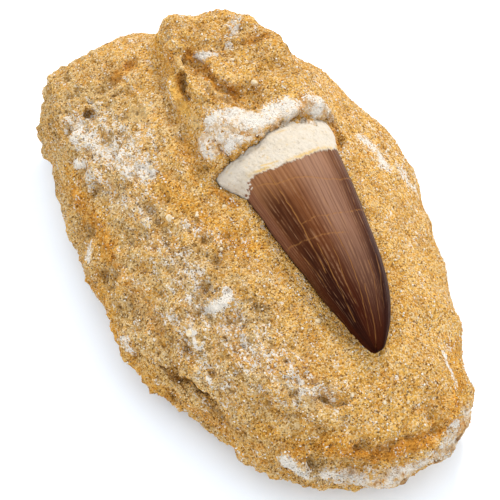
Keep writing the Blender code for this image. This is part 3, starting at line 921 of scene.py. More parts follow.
# %% Rust
RUST = {
    "hump_groove": (((0.8, 35.6, 36.3), (1.8, 30.1, 35.8), (2, 26.7, 35.6), (3, 24.2, 35.2),
                     (4.6, 22.2, 35)), 1.3, 1.2),
    "lobes": (((-3.4, 32.4, 34.6), (-3.8, 29.5, 34), (-4, 27.5, 34)), 1.0, 1.1),
    "hump_back": (((14.4, 33.6, 35.9), (17.2, 33.3, 36.3)), 2.0, 0.9),
    "hump_left_top": (((-2.5, 40, 35.5), (-2.8, 36.5, 36)), 1.6, 0.8),
    "tail_pits": (((-9, 45.3, 28.8), (-13.6, 43.3, 27.7)), 1.8, 0.9),
    "tail_far": (((-17, 48, 26.5), (-21, 50, 25)), 2.2, 0.3),
    "left_wall": (((-31.5, 26, 18.5), (-31.5, 12, 19.4), (-31.8, -2, 18.6), (-31, -12, 18.4)), 3.0, 0.55),
    "low_slope": (((-31, -24, 10), (-27, -34, 11), (-22, -44, 12)), 3.4, 0.5),
    "nose_hollow": (((-11, -54.4, 19.6), (-7.2, -57, 18.6), (-2.6, -58.2, 18.3),
                     (3.4, -58.4, 18.3)), 2.0, 1.2),
    "nose_front": (((-22, -48, 19), (-13, -53.5, 19.5), (-3, -57, 19), (7, -57.5, 18),
                    (13, -53.5, 18)), 2.4, 0.5),
    "face_right": (((12, -58, 13.5), (16.5, -56, 12)), 1.6, 0.8),
    "face_streak": (((-10, -59, 12.5), (-2, -61.3, 13), (6, -61, 14), (12, -57.5, 14.5)), 0.5, 1.0),
    "face_low": (((-4, -61.5, 9.5), (6, -61.5, 10.5), (14, -57, 11)), 0.8, 0.9),
    "nose_ledge": (((-2, -57.8, 19), (5.9, -58.2, 17.9), (10.4, -57.6, 16.6)), 1.1, 1.0),
    "nose_brow": (((3, -53.5, 21), (10, -53, 19.4)), 2.0, 0.5),
    "nose_foot": (((-19, -53.8, 11), (-9, -60.4, 10.4), (2, -62, 11), (12, -57.6, 12.4)), 1.2, 0.9),
    "beside_the_root": (((21.4, 9.4, 28.9), (22, 7.7, 28), (21.2, 5.6, 28), (20, 4.4, 28.3)), 1.3, 1.2),
    "crust_brown": (((3.8, 9, 37.2), (6.2, 9.2, 37), (9.1, 9.2, 36.8)), 1.2, 0.9),
    "crust_brown_left": (((-2, 10.4, 36.6), (0.5, 10.2, 37.4), (3, 9.6, 37.4)), 0.9, 1.0),
    "crust_brown_right": (((17, 10.4, 36), (20.4, 10.6, 32.4), (22.2, 8, 29)), 1.4, 0.8),
    "crust_patch": (((15.9, 13.2, 37.2), (15, 11.4, 37.5), (13.8, 9.5, 37.4)), 1.1, 0.75),
    "crack": (STONE_MARKS["crack_over_the_root"][0], 0.5, 0.9),
    "chip": (STONE_MARKS["chip_beside_the_root"][0], 0.5, 1.2),
    "below_the_root": (((-8.6, 6, 29.2), (-7.6, 3.6, 28.9), (-6.2, 1, 28.8)), 1.2, 0.9),
    "tooth_left": (((-4.6, -6, 29), (-4, -15, 28.2), (-3.4, -26, 27)), 0.8, 0.2),
    "patch_low": (((1, -46, 25), (-3, -50, 23)), 2.2, 0.5),
}
keep_stain("rust", RUST)

# %% [markdown]
# ## Dark places
# Deep cracks, pits, steps and hollows are dark for want of light, and some patches are dark from
# manganese. Light alone gives the first too little, because the skin's cracks are shallower than the real
# ones, so they get painted shade. A painted shadow lies under the knob and along the foot of the nose, and
# the top of the hump and its left wall get painted shade. All are painted as one value that darkens
# whatever lies there.

# %% Dark places
# Painted shade in cracks, pits and steps, painted shadow under the knob, painted shade on the hump, and
# brown stains.
PAINTED_SHADE_AND_STAINS = {
    "shadow_under_the_knob": (((-23.5, -52, 6), (-18, -56, 7), (-12, -59, 7), (-5, -61, 7.5)), 1.8, 0.7),
    "undercut": (STONE_MARKS["undercut"][0], 0.45, 1.0),
    "below_the_lip": (STONE_MARKS["below_the_lip"][0], 0.8, 0.4),
    "crack": (STONE_MARKS["crack_over_the_root"][0], 0.3, 1.0),
    "chip": (STONE_MARKS["chip_beside_the_root"][0], 0.3, 0.8),
    "beside_the_root": (((21.4, 9.6, 30), (22, 8, 28.4), (21.6, 6, 28)), 0.8, 0.5),
    "hump_groove": (((1.6, 31, 35.8), (2.4, 26.7, 35.7), (3.6, 24, 35.3)), 0.7, 0.2),
    "face_seam": (((-6, -60.6, 11.2), (4, -61.6, 12.2), (12, -58, 12.8)), 0.4, 0.8),
    "hump_foot": (((-6.9, 31, 31.3), (-8.7, 22.1, 31)), 1.4, 0.2),
    "pit_left": (((-21.5, 40.2, 25.6),), 0.7, 0.9),
    "pit_far": (((-21.6, 51.2, 24.7),), 0.6, 0.8),
    "pit_right": (((23.5, 22.5, 31),), 0.6, 0.8),
    "step_left": (STONE_MARKS["step_left"][0], 0.5, 0.4),
    "step_low": (STONE_MARKS["step_low"][0], 0.5, 0.6),
    "step_lowest": (STONE_MARKS["step_lowest"][0], 0.5, 0.5),
    "nose_hollow": (((-8, -56.4, 18.9), (-4.4, -57.8, 18.6)), 1.0, 0.6),
    "face_foot": (((-13, -57.4, 9.4), (-8.6, -60, 9.6), (-2, -61.5, 9.8), (5, -61.8, 10.6)), 1.6, 0.6),
    "shade_on_the_hump": (((1, 42, 36), (6, 36, 36.5), (14, 34, 36.5)), 6.5, 0.42),
    "hump_right": (((14, 30, 36), (18, 22, 34)), 5.0, 0.36),
    "shade_on_the_hump_wall": (((-3.6, 45, 33), (-4.6, 37, 32), (-5.4, 33, 32)), 2.2, 0.15),
    "hump_bottom": (((7, 19, 37), (12, 17, 37.5), (17, 16, 35.5)), 2.2, 0.35),
    "brown_by_the_tooth": (((-16.2, -19.1, 28.2), (-14.4, -19.4, 28.1), (-12.5, -23.3, 27.7)), 1.6, 0.6),
    "brown_low": (((-17.2, -23.8, 27.2), (-16.1, -24.7, 27.2)), 1.4, 0.6),
    "brown_far_left": (((-31, 27.6, 19.5), (-28.5, 24.6, 23.2), (-27.8, 21, 23.4)), 2.0, 0.42),
    "brown_left": (((-27.1, 10.6, 23.2), (-25.9, 6.2, 24.3), (-23.7, 5.1, 25.3),
                    (-21.4, 3.7, 26.1)), 2.0, 0.42),
    "brown_slope": (((-27, 3.1, 23.7), (-29.3, -15, 20.4), (-28.8, -22.8, 20.2)), 1.8, 0.25),
    "brown_tail": (((-26.6, 48.7, 23.9), (-29, 45.1, 21.6)), 2.0, 0.3),
}
keep_stain("dark", PAINTED_SHADE_AND_STAINS)

# %% [markdown]
# ## Pale, golden and grey sand
# Fresh breaks are pale, sheltered walls are golden, and the worn left side has weathered grey. They are
# tones of the same sand. Pale and gold are painted. One pale patch, below the seam, is painted light that
# lifts the shadow which the hump casts there. Grey needs only one path: it lies wherever the left side
# faces up, apart from the golden parts, and along the foot of the hump.

# %% Pale, golden and grey sand
PALE = {
    "tail": (((-24, 46, 24), (-19, 43, 26), (-15, 42, 28)), 2.6, 0.55),
    # Painted light that lifts the hump's shadow below the seam.
    "painted_light_below_the_seam": (((-15.5, 33, 28), (-11.5, 31, 29.5)), 2.8, 0.9),
    "fin": (STONE_MARKS["fin_ridge"][0], 1.1, 1.25),
    "lobe": (((-5, 33.5, 32.8), (-5.6, 29, 32.6), (-5.6, 24.5, 32.8), (-5.4, 20, 34)), 1.5, 1.15),
    "lobe_low": (((-2, 22, 37.6), (-3.4, 18.6, 36.4)), 2.2, 0.5),
    "bump_stone": (((8.8, 21.4, 36.8),), 1.0, 0.8),
}
GOLD = {
    "left_wall": (((-31.5, 31, 18), (-31.5, 20, 18.5), (-31.5, 9, 19)), 3.6, 0.9),
    "left_wall_low": (((-35.9, 6, 10), (-36.2, -3, 9), (-36.7, -12, 8), (-35.5, -23, 8)), 4.0, 1.0),
    "left_foot": (((-32, -30, 10), (-28, -38, 11), (-22, -45, 12)), 3.5, 0.6),
    "beside_the_chalk": (((-17.9, 16, 28), (-15.5, 6, 28.5), (-12, -4, 29), (-9, -10, 28.5)), 3.4, 0.9),
    "foot_of_the_crust": (((-10, 19, 30), (-10.5, 9, 29)), 2.5, 0.6),
    "corner_of_the_nose": (((-25, -42, 20), (-20.5, -49.5, 19.5), (-13, -52, 20.5)), 3.2, 1.0),
    "right_of_the_nose": (((19, -43, 16), (15.5, -50, 17), (11.5, -56, 17.6)), 3.0, 1.0),
    "by_the_steps": (((-21, -29, 25), (-16, -35, 26.5), (-11, -40, 26.8)), 2.6, 0.7),
    "by_the_tip": (((8, -40, 27), (12, -34, 27), (14, -28, 27)), 3.0, 0.5),
    "hump_wall": (((-4.5, 44, 33.5), (-5.4, 34, 33), (-5.4, 24, 33)), 2.4, 1.0),
}
# Where the grey side starts and is fully reached, and how far up a face has to look.
GREY_FROM = (5, 19)
GREY_FACING = (-0.2, 0.6)
GOLD_OVER_GREY = 0.8
GREY_FOOT = {"foot_of_the_hump": (((-7.5, 33, 31.3), (-9.5, 22, 31)), 2.0, 0.8)}

keep_stain("pale", PALE)
gold = keep_stain("gold", GOLD)
keep_value(stone, "crust", painted(frayed(points, *CRUST_FRAY), CRUST, CRUST_EDGE))
grey = ease(-points[:, 0], *GREY_FROM) * ease(normals[:, 2], *GREY_FACING)
grey *= 1 - GOLD_OVER_GREY * np.clip(gold, 0, 1)
grey = np.maximum(grey, painted(points, GREY_FOOT))
keep_value(stone, "grey", grey)
print("grey covers", round(float((grey > 0.5).mean()), 3), "of the skin")

# %% [markdown]
# ## Nodes in short
# A finish is a tree of nodes. It could be wired by hand in the node editor, but then it couldn't be read
# or changed as text. These helpers add one node each and hand back its output, so that a finish reads from
# top to bottom.

# %% Node helpers
def new_finish(name):
    """A material, its tree and its shader."""
    finish = bpy.data.materials.new(name)
    finish.use_nodes = True
    return finish, finish.node_tree, finish.node_tree.nodes["Principled BSDF"]


def feed(tree, socket, value):
    """Link an output to a socket, or set the socket to a number or a colour."""
    if isinstance(value, bpy.types.NodeSocket):
        tree.links.new(value, socket)
    elif isinstance(value, tuple) and len(value) == 3 and socket.type == "RGBA":
        socket.default_value = (*value, 1)
    else:
        socket.default_value = value


def place_of(tree, stretch=(1, 1, 1), turn=(0, 0, 0)):
    """Places on the object, in millimetres, stretched and turned."""
    mapping = tree.nodes.new("ShaderNodeMapping")
    tree.links.new(tree.nodes.new("ShaderNodeTexCoord").outputs["Object"], mapping.inputs["Vector"])
    mapping.inputs["Scale"].default_value = [s / MM for s in stretch]
    mapping.inputs["Rotation"].default_value = turn
    return mapping.outputs["Vector"]


def value_of(tree, name):
    """A number stored on the points."""
    node = tree.nodes.new("ShaderNodeAttribute")
    node.attribute_name = name
    return node.outputs["Fac"]


def noise_of(tree, place, size, detail=2.0, rough=0.55, twist=0.0):
    """Cloudy noise from 0 to 1, whose clouds are about this many millimetres wide."""
    node = tree.nodes.new("ShaderNodeTexNoise")
    feed(tree, node.inputs["Vector"], place)
    node.inputs["Scale"].default_value = 1 / size
    node.inputs["Detail"].default_value = detail
    node.inputs["Roughness"].default_value = rough
    node.inputs["Distortion"].default_value = twist
    return node.outputs["Fac"]


def grains_of(tree, place, size, output="Color"):
    """Grains this many millimetres wide: a colour for each, or the distance to its middle."""
    node = tree.nodes.new("ShaderNodeTexVoronoi")
    feed(tree, node.inputs["Vector"], place)
    node.inputs["Scale"].default_value = 1 / size
    return node.outputs[output]


# %% [markdown]
# ## Arithmetic and colours in short
# Stains overlap, fray and tint each other. That takes many small steps of arithmetic, and each step is one
# node, so the steps get short names too.

# %% Arithmetic and colour helpers
def sums(tree, operation, *values):
    """One step of arithmetic."""
    node = tree.nodes.new("ShaderNodeMath")
    node.operation = operation
    for socket, value in zip(node.inputs, values):
        feed(tree, socket, value)
    return node.outputs[0]


def share_of(tree, value, share):
    """Part of a value."""
    return sums(tree, "MULTIPLY", value, share)


def step(tree, value, low, high):
    """A soft step from 0 at low to 1 at high."""
    node = tree.nodes.new("ShaderNodeMapRange")
    node.interpolation_type = "SMOOTHSTEP"
    feed(tree, node.inputs["Value"], value)
    node.inputs["From Min"].default_value = min(low, high)
    node.inputs["From Max"].default_value = max(low, high)
    node.inputs["To Min"].default_value = float(low > high)
    node.inputs["To Max"].default_value = float(low < high)
    return node.outputs["Result"]


def blend_of(tree, share, one, other, way="MIX"):
    """One colour, with a share of another mixed in."""
    node = tree.nodes.new("ShaderNodeMix")
    node.data_type = "RGBA"
    node.blend_type = way
    feed(tree, node.inputs["Factor"], share)
    feed(tree, node.inputs[6], one)
    feed(tree, node.inputs[7], other)
    return node.outputs[2]


def ramp_of(tree, value, stops):
    """A colour for each value, from a few stops."""
    node = tree.nodes.new("ShaderNodeValToRGB")
    feed(tree, node.inputs["Fac"], value)
    for i, (place, colour) in enumerate(stops):
        stop = node.color_ramp.elements[i] if i < 2 else node.color_ramp.elements.new(place)
        stop.position = place
        stop.color = (*colour, 1)
    return node.outputs["Color"]


def bump_of(tree, height, distance, under=None):
    """Fine relief this many millimetres high, on top of another."""
    node = tree.nodes.new("ShaderNodeBump")
    node.inputs["Distance"].default_value = distance * MM
    feed(tree, node.inputs["Height"], height)
    if under is not None:
        feed(tree, node.inputs["Normal"], under)
    return node.outputs["Normal"]


# %% [markdown]
# ## Sand
# The sand is a mix of clear, honey, ochre and black grains of 0.2 to 0.5 mm. A mesh for each would take
# millions of triangles, so cells as wide as a grain take their colour from a ramp instead, each by its own
# luck. The weathered side takes it from a duller ramp.

# %% Sand
GRAIN = 0.34
SAND = ((0.0, (0.11, 0.05, 0.015)), (0.2, (0.24, 0.11, 0.025)), (0.34, (0.49, 0.255, 0.05)),
        (0.54, (0.62, 0.335, 0.07)), (0.74, (0.70, 0.40, 0.095)), (0.9, (0.78, 0.50, 0.17)),
        (1.0, (0.84, 0.62, 0.33)))
GREY_SAND = ((0.0, (0.09, 0.06, 0.03)), (0.22, (0.22, 0.13, 0.045)), (0.36, (0.42, 0.26, 0.088)),
             (0.56, (0.53, 0.35, 0.13)), (0.74, (0.62, 0.45, 0.22)), (0.9, (0.75, 0.63, 0.44)))
CREAM = (0.76, 0.60, 0.38)
LUCK_SHARE = 0.72
FINE_SHARE = 0.36
GREY_SHARE = 0.8
CREAM_SHARE = 0.85
CREAM_LUCK = (0.5, 1.0)
# Clouds, here and below: how many millimetres wide, how many finer layers, and how rough.
GREY_CLOUDS = (4.0, 4, 0.6)
GREY_CLOUD_EDGE = (0.36, 0.58)


def sand_of(tree, place, luck, third, fine):
    """Grains in gold or grey, each with its own colour."""
    shade = sums(tree, "ADD", share_of(tree, luck, LUCK_SHARE), share_of(tree, fine, FINE_SHARE))
    grey_clouds = step(tree, noise_of(tree, place, *GREY_CLOUDS), *GREY_CLOUD_EDGE)
    grey = share_of(tree, share_of(tree, value_of(tree, "grey"), grey_clouds), GREY_SHARE)
    colour = blend_of(tree, grey, ramp_of(tree, shade, SAND), ramp_of(tree, shade, GREY_SAND))
    creamy = share_of(tree, step(tree, third, *CREAM_LUCK), CREAM_SHARE)
    return blend_of(tree, creamy, colour, CREAM)


print("colours of sand", len(SAND), "golden and", len(GREY_SAND), "grey")

# %% [markdown]
# ## Cement
# Lime and iron hold the grains together, and the cement between them tints them all. It comes in wide
# clouds, partly drawn out along the bedding. Multiplying keeps the grains visible, where mixing would
# paint over them. The sunk places of the skin are darkened browner too, as painted shade.

# %% Cement
BROWN_CEMENT_AND_SHADE = (0.72, 0.61, 0.44)
GOLD_CEMENT = (0.965, 0.94, 0.86)
ORANGE_CEMENT = (0.97, 0.79, 0.48)
DRAWN_OUT = (1, 0.4, 1)
WIDE_CLOUDS = (6.0, 5, 0.6)
MIDDLE_CLOUDS = (1.7, 4, 0.65)
STREAKY_CLOUDS = (2.2, 5, 0.68)
STREAKY_SHARE = 0.5
GOLD_CEMENT_EDGE = (0.37, 0.53)
ORANGE_CEMENT_EDGE = (0.5, 0.66)
ORANGE_SHARE = 0.7
CEMENT_SHARE = 0.85
# Hollows get a browner painted shade, from this height to this one, in mm.
HOLLOW_SHADE_HEIGHT = (0.1, -0.8)
HOLLOW_SHADE_SHARE = 0.28


def cement_over(tree, place, colour):
    """Tint the sand with its cement, and paint a browner shade into its hollows."""
    wide = noise_of(tree, place, *WIDE_CLOUDS)
    middle = noise_of(tree, place, *MIDDLE_CLOUDS)
    streaky = noise_of(tree, place_of(tree, DRAWN_OUT), *STREAKY_CLOUDS)
    wide = sums(tree, "ADD", share_of(tree, wide, 1 - STREAKY_SHARE), share_of(tree, streaky, STREAKY_SHARE))
    cement = blend_of(tree, step(tree, wide, *GOLD_CEMENT_EDGE), BROWN_CEMENT_AND_SHADE, GOLD_CEMENT)
    orange = share_of(tree, step(tree, middle, *ORANGE_CEMENT_EDGE), ORANGE_SHARE)
    cement = blend_of(tree, orange, cement, ORANGE_CEMENT)
    colour = blend_of(tree, CEMENT_SHARE, colour, cement, "MULTIPLY")
    # Painted shade: the sunk places of the skin are darkened browner.
    low = step(tree, value_of(tree, "height"), *HOLLOW_SHADE_HEIGHT)
    return blend_of(tree, share_of(tree, low, HOLLOW_SHADE_SHARE), colour, BROWN_CEMENT_AND_SHADE, "MULTIPLY")


print("cement in clouds of", WIDE_CLOUDS[0], "and", MIDDLE_CLOUDS[0], "mm")

# %% [markdown]
# ## Crust and chalk
# Chalk and crust lie on some grains and leave others bare. So their strength isn't how white the skin
# gets, but the share of the grains that they cover: each grain draws a chance, and the stain takes it or
# leaves it. The crust is also lumpy and has brown fibres.

# %% Crust and chalk
CHALK_COLOUR = (0.72, 0.665, 0.585)
CRUST_COLOUR = (0.64, 0.49, 0.33)
CRUST_STREAK = (0.40, 0.22, 0.09)
STREAK_STRETCH = (1, 0.3, 0.5)
STREAK_TURN = (0, 0, 0.35)
LUMP_CLOUDS = (2.8, 5, 0.66, 0.6)
LUMP_EDGE = (0.46, 0.54)
LUMP_SHARE = 0.9
FIBRE_CLOUDS = (0.8, 4, 0.65)
FIBRE_EDGE = (0.42, 0.62)
FIBRE_SHARE = 0.8
BARE_CHANCE = (0.05, 0.2)
CRUST_SHARE = 0.9
DRAWN_OUT_CLOUDS = (1.5, 5, 0.7)
CHALK_FRAY = 2.2
CHALK_CHANCE = 0.55
CHALK_EDGE = (0.05, 0.25)
CHALK_SHARE = 0.93
DUSTY_EDGE = (0.5, 0.3)
DUSTY_SHARE = 0.5
HAZE_SHARE = 0.22
# Edges of stains, here and below: how far it frays, and the values between which the stain comes on.
HAZE_EDGE = (0.8, 0.1, 0.7)


def stain_of(tree, name, break_up, fray, low, high):
    """How strongly a painted stain shows, with its edge broken up."""
    return step(tree, sums(tree, "ADD", value_of(tree, name), share_of(tree, break_up, fray)), low, high)


def crust_over(tree, place, colour, crust, chance):
    """Lay the white crust with its lumps and brown fibres on the sand."""
    lumps = step(tree, noise_of(tree, place, *LUMP_CLOUDS), *LUMP_EDGE)
    fibres = noise_of(tree, place_of(tree, STREAK_STRETCH, STREAK_TURN), *FIBRE_CLOUDS)
    fibres = step(tree, fibres, *FIBRE_EDGE)
    crust_colour = blend_of(tree, share_of(tree, fibres, FIBRE_SHARE), CRUST_COLOUR, CRUST_STREAK)
    crust_colour = blend_of(tree, share_of(tree, lumps, LUMP_SHARE), crust_colour, CHALK_COLOUR)
    covered = share_of(tree, step(tree, chance, *BARE_CHANCE), CRUST_SHARE)
    return blend_of(tree, share_of(tree, crust, covered), colour, crust_colour)


def chalk_over(tree, colour, break_up, chance, fine):
    """Bleach the sand to a haze, and cover a share of its grains with chalk."""
    drawn_out = noise_of(tree, place_of(tree, DRAWN_OUT), *DRAWN_OUT_CLOUDS)
    drawn_out = sums(tree, "SUBTRACT", drawn_out, 0.5)
    reach = sums(tree, "ADD", value_of(tree, "chalk"), share_of(tree, drawn_out, CHALK_FRAY))
    chalk = step(tree, sums(tree, "SUBTRACT", reach, share_of(tree, chance, CHALK_CHANCE)), *CHALK_EDGE)
    dusty = share_of(tree, step(tree, fine, *DUSTY_EDGE), DUSTY_SHARE)
    chalk_colour = blend_of(tree, dusty, CHALK_COLOUR, CRUST_COLOUR)
    haze = stain_of(tree, "chalk", break_up, *HAZE_EDGE)
    colour = blend_of(tree, share_of(tree, haze, HAZE_SHARE), colour, CHALK_COLOUR)
    return blend_of(tree, share_of(tree, chalk, CHALK_SHARE), colour, chalk_colour)


print("chalk comes in clouds of", DRAWN_OUT_CLOUDS[0], "mm")

# %% [markdown]
# ## Rust, gold and black specks
# Rust and gold are tints, so they are multiplied over the sand. Black specks are larger grains of heavy
# minerals. They are round, so a second set of cells gives them their place by its colour and their round
# shape by its distance, and more of them lie on the weathered side.

# %% Rust, gold and specks
RUST_TINT = (0.84, 0.54, 0.14)
GOLD_TINT = (1.0, 0.86, 0.50)
RUST_EDGE = (1.5, 0.1, 1.05)
# Rust takes every grain a little, and some by luck more.
RUST_ON_ALL = 0.55
RUST_BY_LUCK = 0.45
GOLD_EDGE = (1.0, 0.1, 1.0)
SPECK = 0.62
SPECK_COLOUR = (0.11, 0.075, 0.045)
SPECKS_EVERYWHERE = 0.10
SPECKS_ON_GREY = 0.16
SPECK_LUCK = (-0.02, 0.02)
SPECK_RADIUS = (0.36, 0.2)
SPECK_STRENGTH = 0.75
SPECKS_HIDDEN = 0.6


def iron_over(tree, colour, break_up, third):
    """Tint the sand with rust and gold."""
    rust = stain_of(tree, "rust", break_up, *RUST_EDGE)
    rust = share_of(tree, rust, sums(tree, "ADD", RUST_ON_ALL, share_of(tree, third, RUST_BY_LUCK)))
    colour = blend_of(tree, rust, colour, RUST_TINT, "MULTIPLY")
    return blend_of(tree, stain_of(tree, "gold", break_up, *GOLD_EDGE), colour, GOLD_TINT, "MULTIPLY")


def specks_over(tree, place, colour, crust):
    """Scatter black specks, fewer of them on the crust."""
    spots = tree.nodes.new("ShaderNodeSeparateColor")
    feed(tree, spots.inputs[0], grains_of(tree, place, SPECK))
    many = sums(tree, "ADD", SPECKS_EVERYWHERE, share_of(tree, value_of(tree, "grey"), SPECKS_ON_GREY))
    picked = step(tree, sums(tree, "SUBTRACT", many, spots.outputs[0]), *SPECK_LUCK)
    speck = share_of(tree, picked, step(tree, grains_of(tree, place, SPECK, "Distance"), *SPECK_RADIUS))
    shown = sums(tree, "SUBTRACT", SPECK_STRENGTH, share_of(tree, crust, SPECKS_HIDDEN))
    speck = share_of(tree, speck, shown)
    return blend_of(tree, speck, colour, SPECK_COLOUR)


print("a speck is", SPECK, "mm wide and a grain", GRAIN, "mm")

# %% [markdown]
# ## Sandstone
# The layers now go on one over the other: sand, cement with painted shade in its hollows, crust, rust,
# chalk, painted shade in the pits, specks, and the dark places of painted shade and stains. The finish is
# dull, because broken sand scatters light. Relief finer than the skin's cells would need millions of
# triangles, so two bumps stand for it: soft lumps, and the grains themselves.

# %% Sandstone finish
# The colour towards which painted shade, painted shadow and dark stains darken the sand.
SHADE_AND_STAIN_TINT = (0.16, 0.105, 0.07)
PALE_COLOUR = (0.80, 0.58, 0.27)
FINE_CLOUDS = (0.28, 3, 0.7)
BREAK_UP_CLOUDS = (1.3, 4, 0.7)
CRUST_COLOUR_EDGE = (1.4, 0.3, 0.6)
PALE_EDGE = (1.0, 0.3, 0.8)
SHADE_AND_STAIN_EDGE = (0.9, 0.1, 1.0)
PALE_SHARE = 0.42
# Painted shade in the pits: from this sunk height to this one, in mm.
PIT_SHADE_HEIGHT = (-0.9, -1.8)
PIT_SHADE_SHARE = 0.32
STONE_ROUGHNESS = 0.95
STONE_GLOSS = 0.1
SOFT_LUMPS = (1.0, 3, 0.6)
SOFT_LUMP_RELIEF = 0.6
GRAIN_RELIEF = -0.35


def sandstone():
    """Golden sandstone with chalk, rust, a white crust, and painted shade in its pits, cracks and hollows.
    """
    finish, tree, shader = new_finish("sandstone")
    place = place_of(tree)
    split = tree.nodes.new("ShaderNodeSeparateColor")
    feed(tree, split.inputs[0], grains_of(tree, place, GRAIN))
    luck, chance, third = split.outputs
    fine = noise_of(tree, place, *FINE_CLOUDS)
    break_up = sums(tree, "SUBTRACT", noise_of(tree, place, *BREAK_UP_CLOUDS), 0.5)
    colour = cement_over(tree, place, sand_of(tree, place, luck, third, fine))
    # Pale sand, and one patch of painted light below the seam.
    pale = share_of(tree, stain_of(tree, "pale", break_up, *PALE_EDGE), PALE_SHARE)
    colour = blend_of(tree, pale, colour, PALE_COLOUR)
    crust = stain_of(tree, "crust", break_up, *CRUST_COLOUR_EDGE)
    colour = crust_over(tree, place, colour, crust, chance)
    colour = iron_over(tree, colour, break_up, third)
    colour = chalk_over(tree, colour, break_up, chance, fine)
    # Painted shade in the deepest pits of the relief.
    pit_shade = share_of(tree, step(tree, value_of(tree, "height"), *PIT_SHADE_HEIGHT), PIT_SHADE_SHARE)
    colour = blend_of(tree, pit_shade, colour, SHADE_AND_STAIN_TINT, "MULTIPLY")
    colour = specks_over(tree, place, colour, crust)
    # Painted shade and painted shadow from the stored dark places, and the dark stains.
    colour = blend_of(tree, stain_of(tree, "dark", break_up, *SHADE_AND_STAIN_EDGE), colour, SHADE_AND_STAIN_TINT, "MULTIPLY")
    feed(tree, shader.inputs["Base Color"], colour)
    shader.inputs["Roughness"].default_value = STONE_ROUGHNESS
    shader.inputs["Specular IOR Level"].default_value = STONE_GLOSS
    coarse = bump_of(tree, noise_of(tree, place, *SOFT_LUMPS), SOFT_LUMP_RELIEF)
    grainy = bump_of(tree, grains_of(tree, place, GRAIN, "Distance"), GRAIN_RELIEF, coarse)
    feed(tree, shader.inputs["Normal"], grainy)
    return finish


stone.data.materials.clear()
stone.data.materials.append(sandstone())
print("nodes in the sandstone finish", len(stone.data.materials[0].node_tree.nodes))

# %% [markdown]
# ## Places for loose grains
# Seen close, sand is not a texture but grains that stand out of the cement. A particle system could
# scatter them, but each particle would have to be turned into a mesh again afterwards. So places are
# drawn by chance on the triangles of the skin, and the chance follows height, chalk and rust.

# %% Places for loose grains
# No grain lies lower than this, in mm. The other pairs say from where to where the chance changes.
GRAIN_FLOOR = 1.5
CHANCE_IN_PITS = 0.15
PIT_FROM = (-1.3, -0.4)
CHALKY_FROM = (0.2, 0.7)
RUSTY_FROM = (0.4, 1.0)


def kept_value(obj, name):
    """A number stored on the points, for each point."""
    values = np.empty(len(obj.data.vertices), np.float32)
    obj.data.attributes[name].data.foreach_get("value", values)
    return values


def places_on(obj, count, on_chalk, on_rust, random):
    """Scattered places on the sides and top of a skin, and the direction that each faces."""
    triangles = obj.data.loop_triangles
    corners = np.empty(len(triangles) * 3, np.int32)
    triangles.foreach_get("vertices", corners)
    corners = corners.reshape(-1, 3)
    points = points_of(obj)[corners]
    across = np.cross(points[:, 1] - points[:, 0], points[:, 2] - points[:, 0])
    area = np.linalg.norm(across, axis=1)
    height, chalk, crust, rust = [kept_value(obj, name)[corners].mean(axis=1)
                                  for name in ("height", "chalk", "crust", "rust")]
    chance = area * (points[:, :, 2].min(axis=1) > GRAIN_FLOOR)
    chance *= CHANCE_IN_PITS + (1 - CHANCE_IN_PITS) * ease(height, *PIT_FROM)
    chance *= 1 - (1 - on_chalk) * ease(np.maximum(chalk, crust), *CHALKY_FROM)
    chance *= 1 - (1 - on_rust) * ease(rust, *RUSTY_FROM)
    picked = random.choice(len(area), count, p=chance / chance.sum())
    u, v = np.sort(random.random((2, count)), axis=0)
    weights = np.stack([u, v - u, 1 - v], axis=1)
    return (points[picked] * weights[:, :, None]).sum(axis=1), across[picked] / area[picked][:, None]


stone.data.calc_loop_triangles()
print("triangles to sow on", len(stone.data.loop_triangles))

# %% [markdown]
# ## Loose grains
# Four kinds are sown: shell flecks, quartz, amber grains and dark heavy grains. A real grain is a worn
# pebble in small. At this size an icosahedron that is squashed, turned and sunk into the stone looks the
# same and costs twenty triangles. An operator makes one; its thousands of copies are written as one
# array, because a call for each would take minutes.

# %% Sow the grains
# For each kind: how many, the shortest and longest grain in mm, the share that is kept on chalk, the
# share that is kept on rust, and its two colours.
GRAINS = {
    "shell_flecks": (2800, 0.22, 0.66, 1.0, 0.3, (0.74, 0.70, 0.62), (0.60, 0.52, 0.40)),
    "quartz_grains": (9000, 0.20, 0.46, 0.5, 0.3, (0.74, 0.58, 0.34), (0.66, 0.44, 0.18)),
    "amber_grains": (9000, 0.20, 0.50, 0.15, 1.0, (0.66, 0.33, 0.06), (0.50, 0.22, 0.04)),
    "dark_grains": (6000, 0.16, 0.34, 0.2, 1.0, (0.07, 0.055, 0.045), (0.20, 0.12, 0.06)),
}
SUNK_SHARE = 0.32
# Most grains are small, and the flattest is about half as thick as it is long.
SMALL_POWER = 2
FLATTEST = 0.55
FLATNESS_RANGE = 0.45
# How thick a grain is taken to be, as a share of its length, when it is sunk.
THICKNESS_SHARE = 0.6
CLEAR_OF_TOOTH = 0.5


